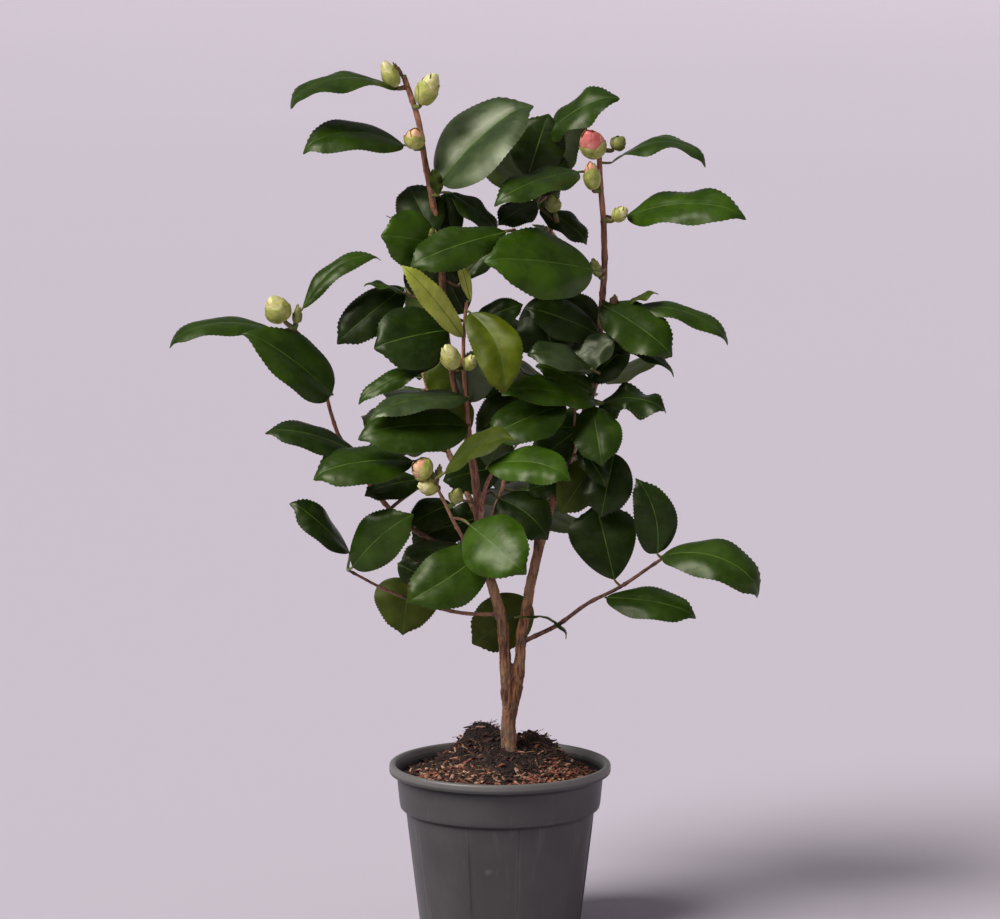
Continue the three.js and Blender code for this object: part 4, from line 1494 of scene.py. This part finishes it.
def panel_share(turn, level):
    """How much of the panel's depth applies at an angle in degrees and a height in millimetres."""
    gap = 360 / PANELS
    off = abs((turn - PANEL_TURN + gap / 2) % gap - gap / 2)
    across = 1 - float(ramp(off, PANEL_WIDTH / 2 - 0.7, PANEL_WIDTH / 2 + 0.7))
    return across * float(ramp(level, 5, 9)) * (1 - float(ramp(level, 90, 94)))


pot_places = []
for row, (radius, level) in enumerate(POT_PROFILE):
    for segment in range(POT_SEGMENTS):
        degrees = 360 * segment / POT_SEGMENTS
        dent = PANEL_DEPTH * panel_share(degrees, level) if row < BODY_ROWS else 0.0
        turn = math.radians(degrees)
        pot_places.append(((radius - dent) * MM * math.cos(turn), (radius - dent) * MM * math.sin(turn), level * MM))
pot_faces = bands(len(POT_PROFILE), POT_SEGMENTS)
pot_faces += [tuple(range(POT_SEGMENTS))[::-1], tuple(range(len(pot_places) - POT_SEGMENTS, len(pot_places)))]
pot_mesh = mesh_of("pot_wall", pot_places, pot_faces)
print("pot wall", len(pot_mesh.polygons), "faces")

# %% Drain holes
DRAIN_COUNT = 6
DRAIN_CIRCLE = 46 * MM
DRAIN_RADIUS = 5 * MM
DRAIN_SIDES = 40

drills = Builder()
for x, y, _ in circle(DRAIN_CIRCLE, 0, 2 * DRAIN_COUNT)[1::2]:
    drills.tube([(x, y, -3 * MM), (x, y, 1 * MM), (x, y, 6 * MM)], [DRAIN_RADIUS] * 3, DRAIN_SIDES, 0)
drill = link("drills", drills.mesh("drills"))
pot_mesh = modified("pot_shape", pot_mesh,
                    ("BOOLEAN", {"operation": "DIFFERENCE", "solver": "EXACT", "object": drill}))
bpy.data.objects.remove(drill)
pot_mesh.shade_smooth()
pot_mesh.set_sharp_from_angle(angle=math.radians(38))


# %% Pot finish, with painted shade under the collar and the lip
PANEL_EDGE_LINE_WIDTH = 0.011


def band(height, low, high):
    """1 between two heights in millimetres, with a soft foot and a crisp top."""
    return height.within((low - 1.2) * MM, (low + 0.6) * MM) * (1 - height.within((high - 0.2) * MM, high * MM))


def paint_pot(place):
    x, y, height = (place.coordinate(k) for k in range(3))
    turn = y.math("ARCTAN2", y, x) - math.radians(PANEL_TURN)
    from_edge = turn.math("PINGPONG", turn, math.pi / PANELS) - math.radians(PANEL_WIDTH / 2)
    # A thin dark line is painted along the edge of each panel, from 30 to 95 mm up.
    panel_edge_line = (1 - from_edge.math("ABSOLUTE", from_edge).within(0.0, PANEL_EDGE_LINE_WIDTH)) * band(height, 30, 95)
    # Painted shade: dark bands just under the collar and just under the lip, where their overhangs shade the wall,
    # together with the panel edge lines.
    painted_shade_and_edge_lines = band(height, 94.8, 97.3) + band(height, 122, 125) + 0.6 * panel_edge_line
    spread = place.stretched(1, 1, 0.05)
    # The pale vertical streaks are partly scuffs and partly a painted highlight. Everything above the middle of the
    # lip is paler.
    streaks = spread.clouds(95, detail=4).within(0.58, 0.8)
    fine_streaks = spread.clouds(420, detail=3).within(0.6, 0.85)
    cloudy = place.clouds(18, detail=3).within(0.3, 0.75)
    scuffs = place.clouds(60, detail=5).within(0.66, 0.78)
    specks = place.cells(260).within(0.03, 0.07)
    lip = height.within(0.1262, 0.1285)
    dust_and_sheen = 0.08 + cloudy * 0.1 + streaks * 0.26 + fine_streaks * 0.12 + scuffs * 0.22 + lip * 0.38
    worn_and_sheen = ((1 - specks) * 0.4).between(dust_and_sheen.between(srgb(41, 40, 41), srgb(132, 129, 124)), srgb(164, 156, 142))
    return {
        "Base Color": (0.85 * painted_shade_and_edge_lines).between(worn_and_sheen, srgb(12, 11, 11)),
        "Roughness": 0.4 + 0.12 * cloudy + 0.14 * streaks,
        "Normal": (0.3 * cloudy + 0.2 * streaks + 0.16 * place.clouds(1300, detail=2)).bump(0.0003, 0.5),
    }


dress("pot_body", pot_mesh, [surface("pot_plastic", paint_pot)], ["pot"])

# %% [markdown]
# ## Growth of the box
# The box of the visual model is set against the imported one, and its growth at each corner is printed. The
# visual model may not outgrow the imported one by more than a hair.

# %% Sizes and finish
visual_box = [list(corner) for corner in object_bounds()]
for corner, (packed, dressed) in zip(("low", "high"), zip(cad_box, visual_box)):
    print("growth at the", corner, "corner, mm", [round((v - c) / MM, 1) for c, v in zip(packed, dressed)])
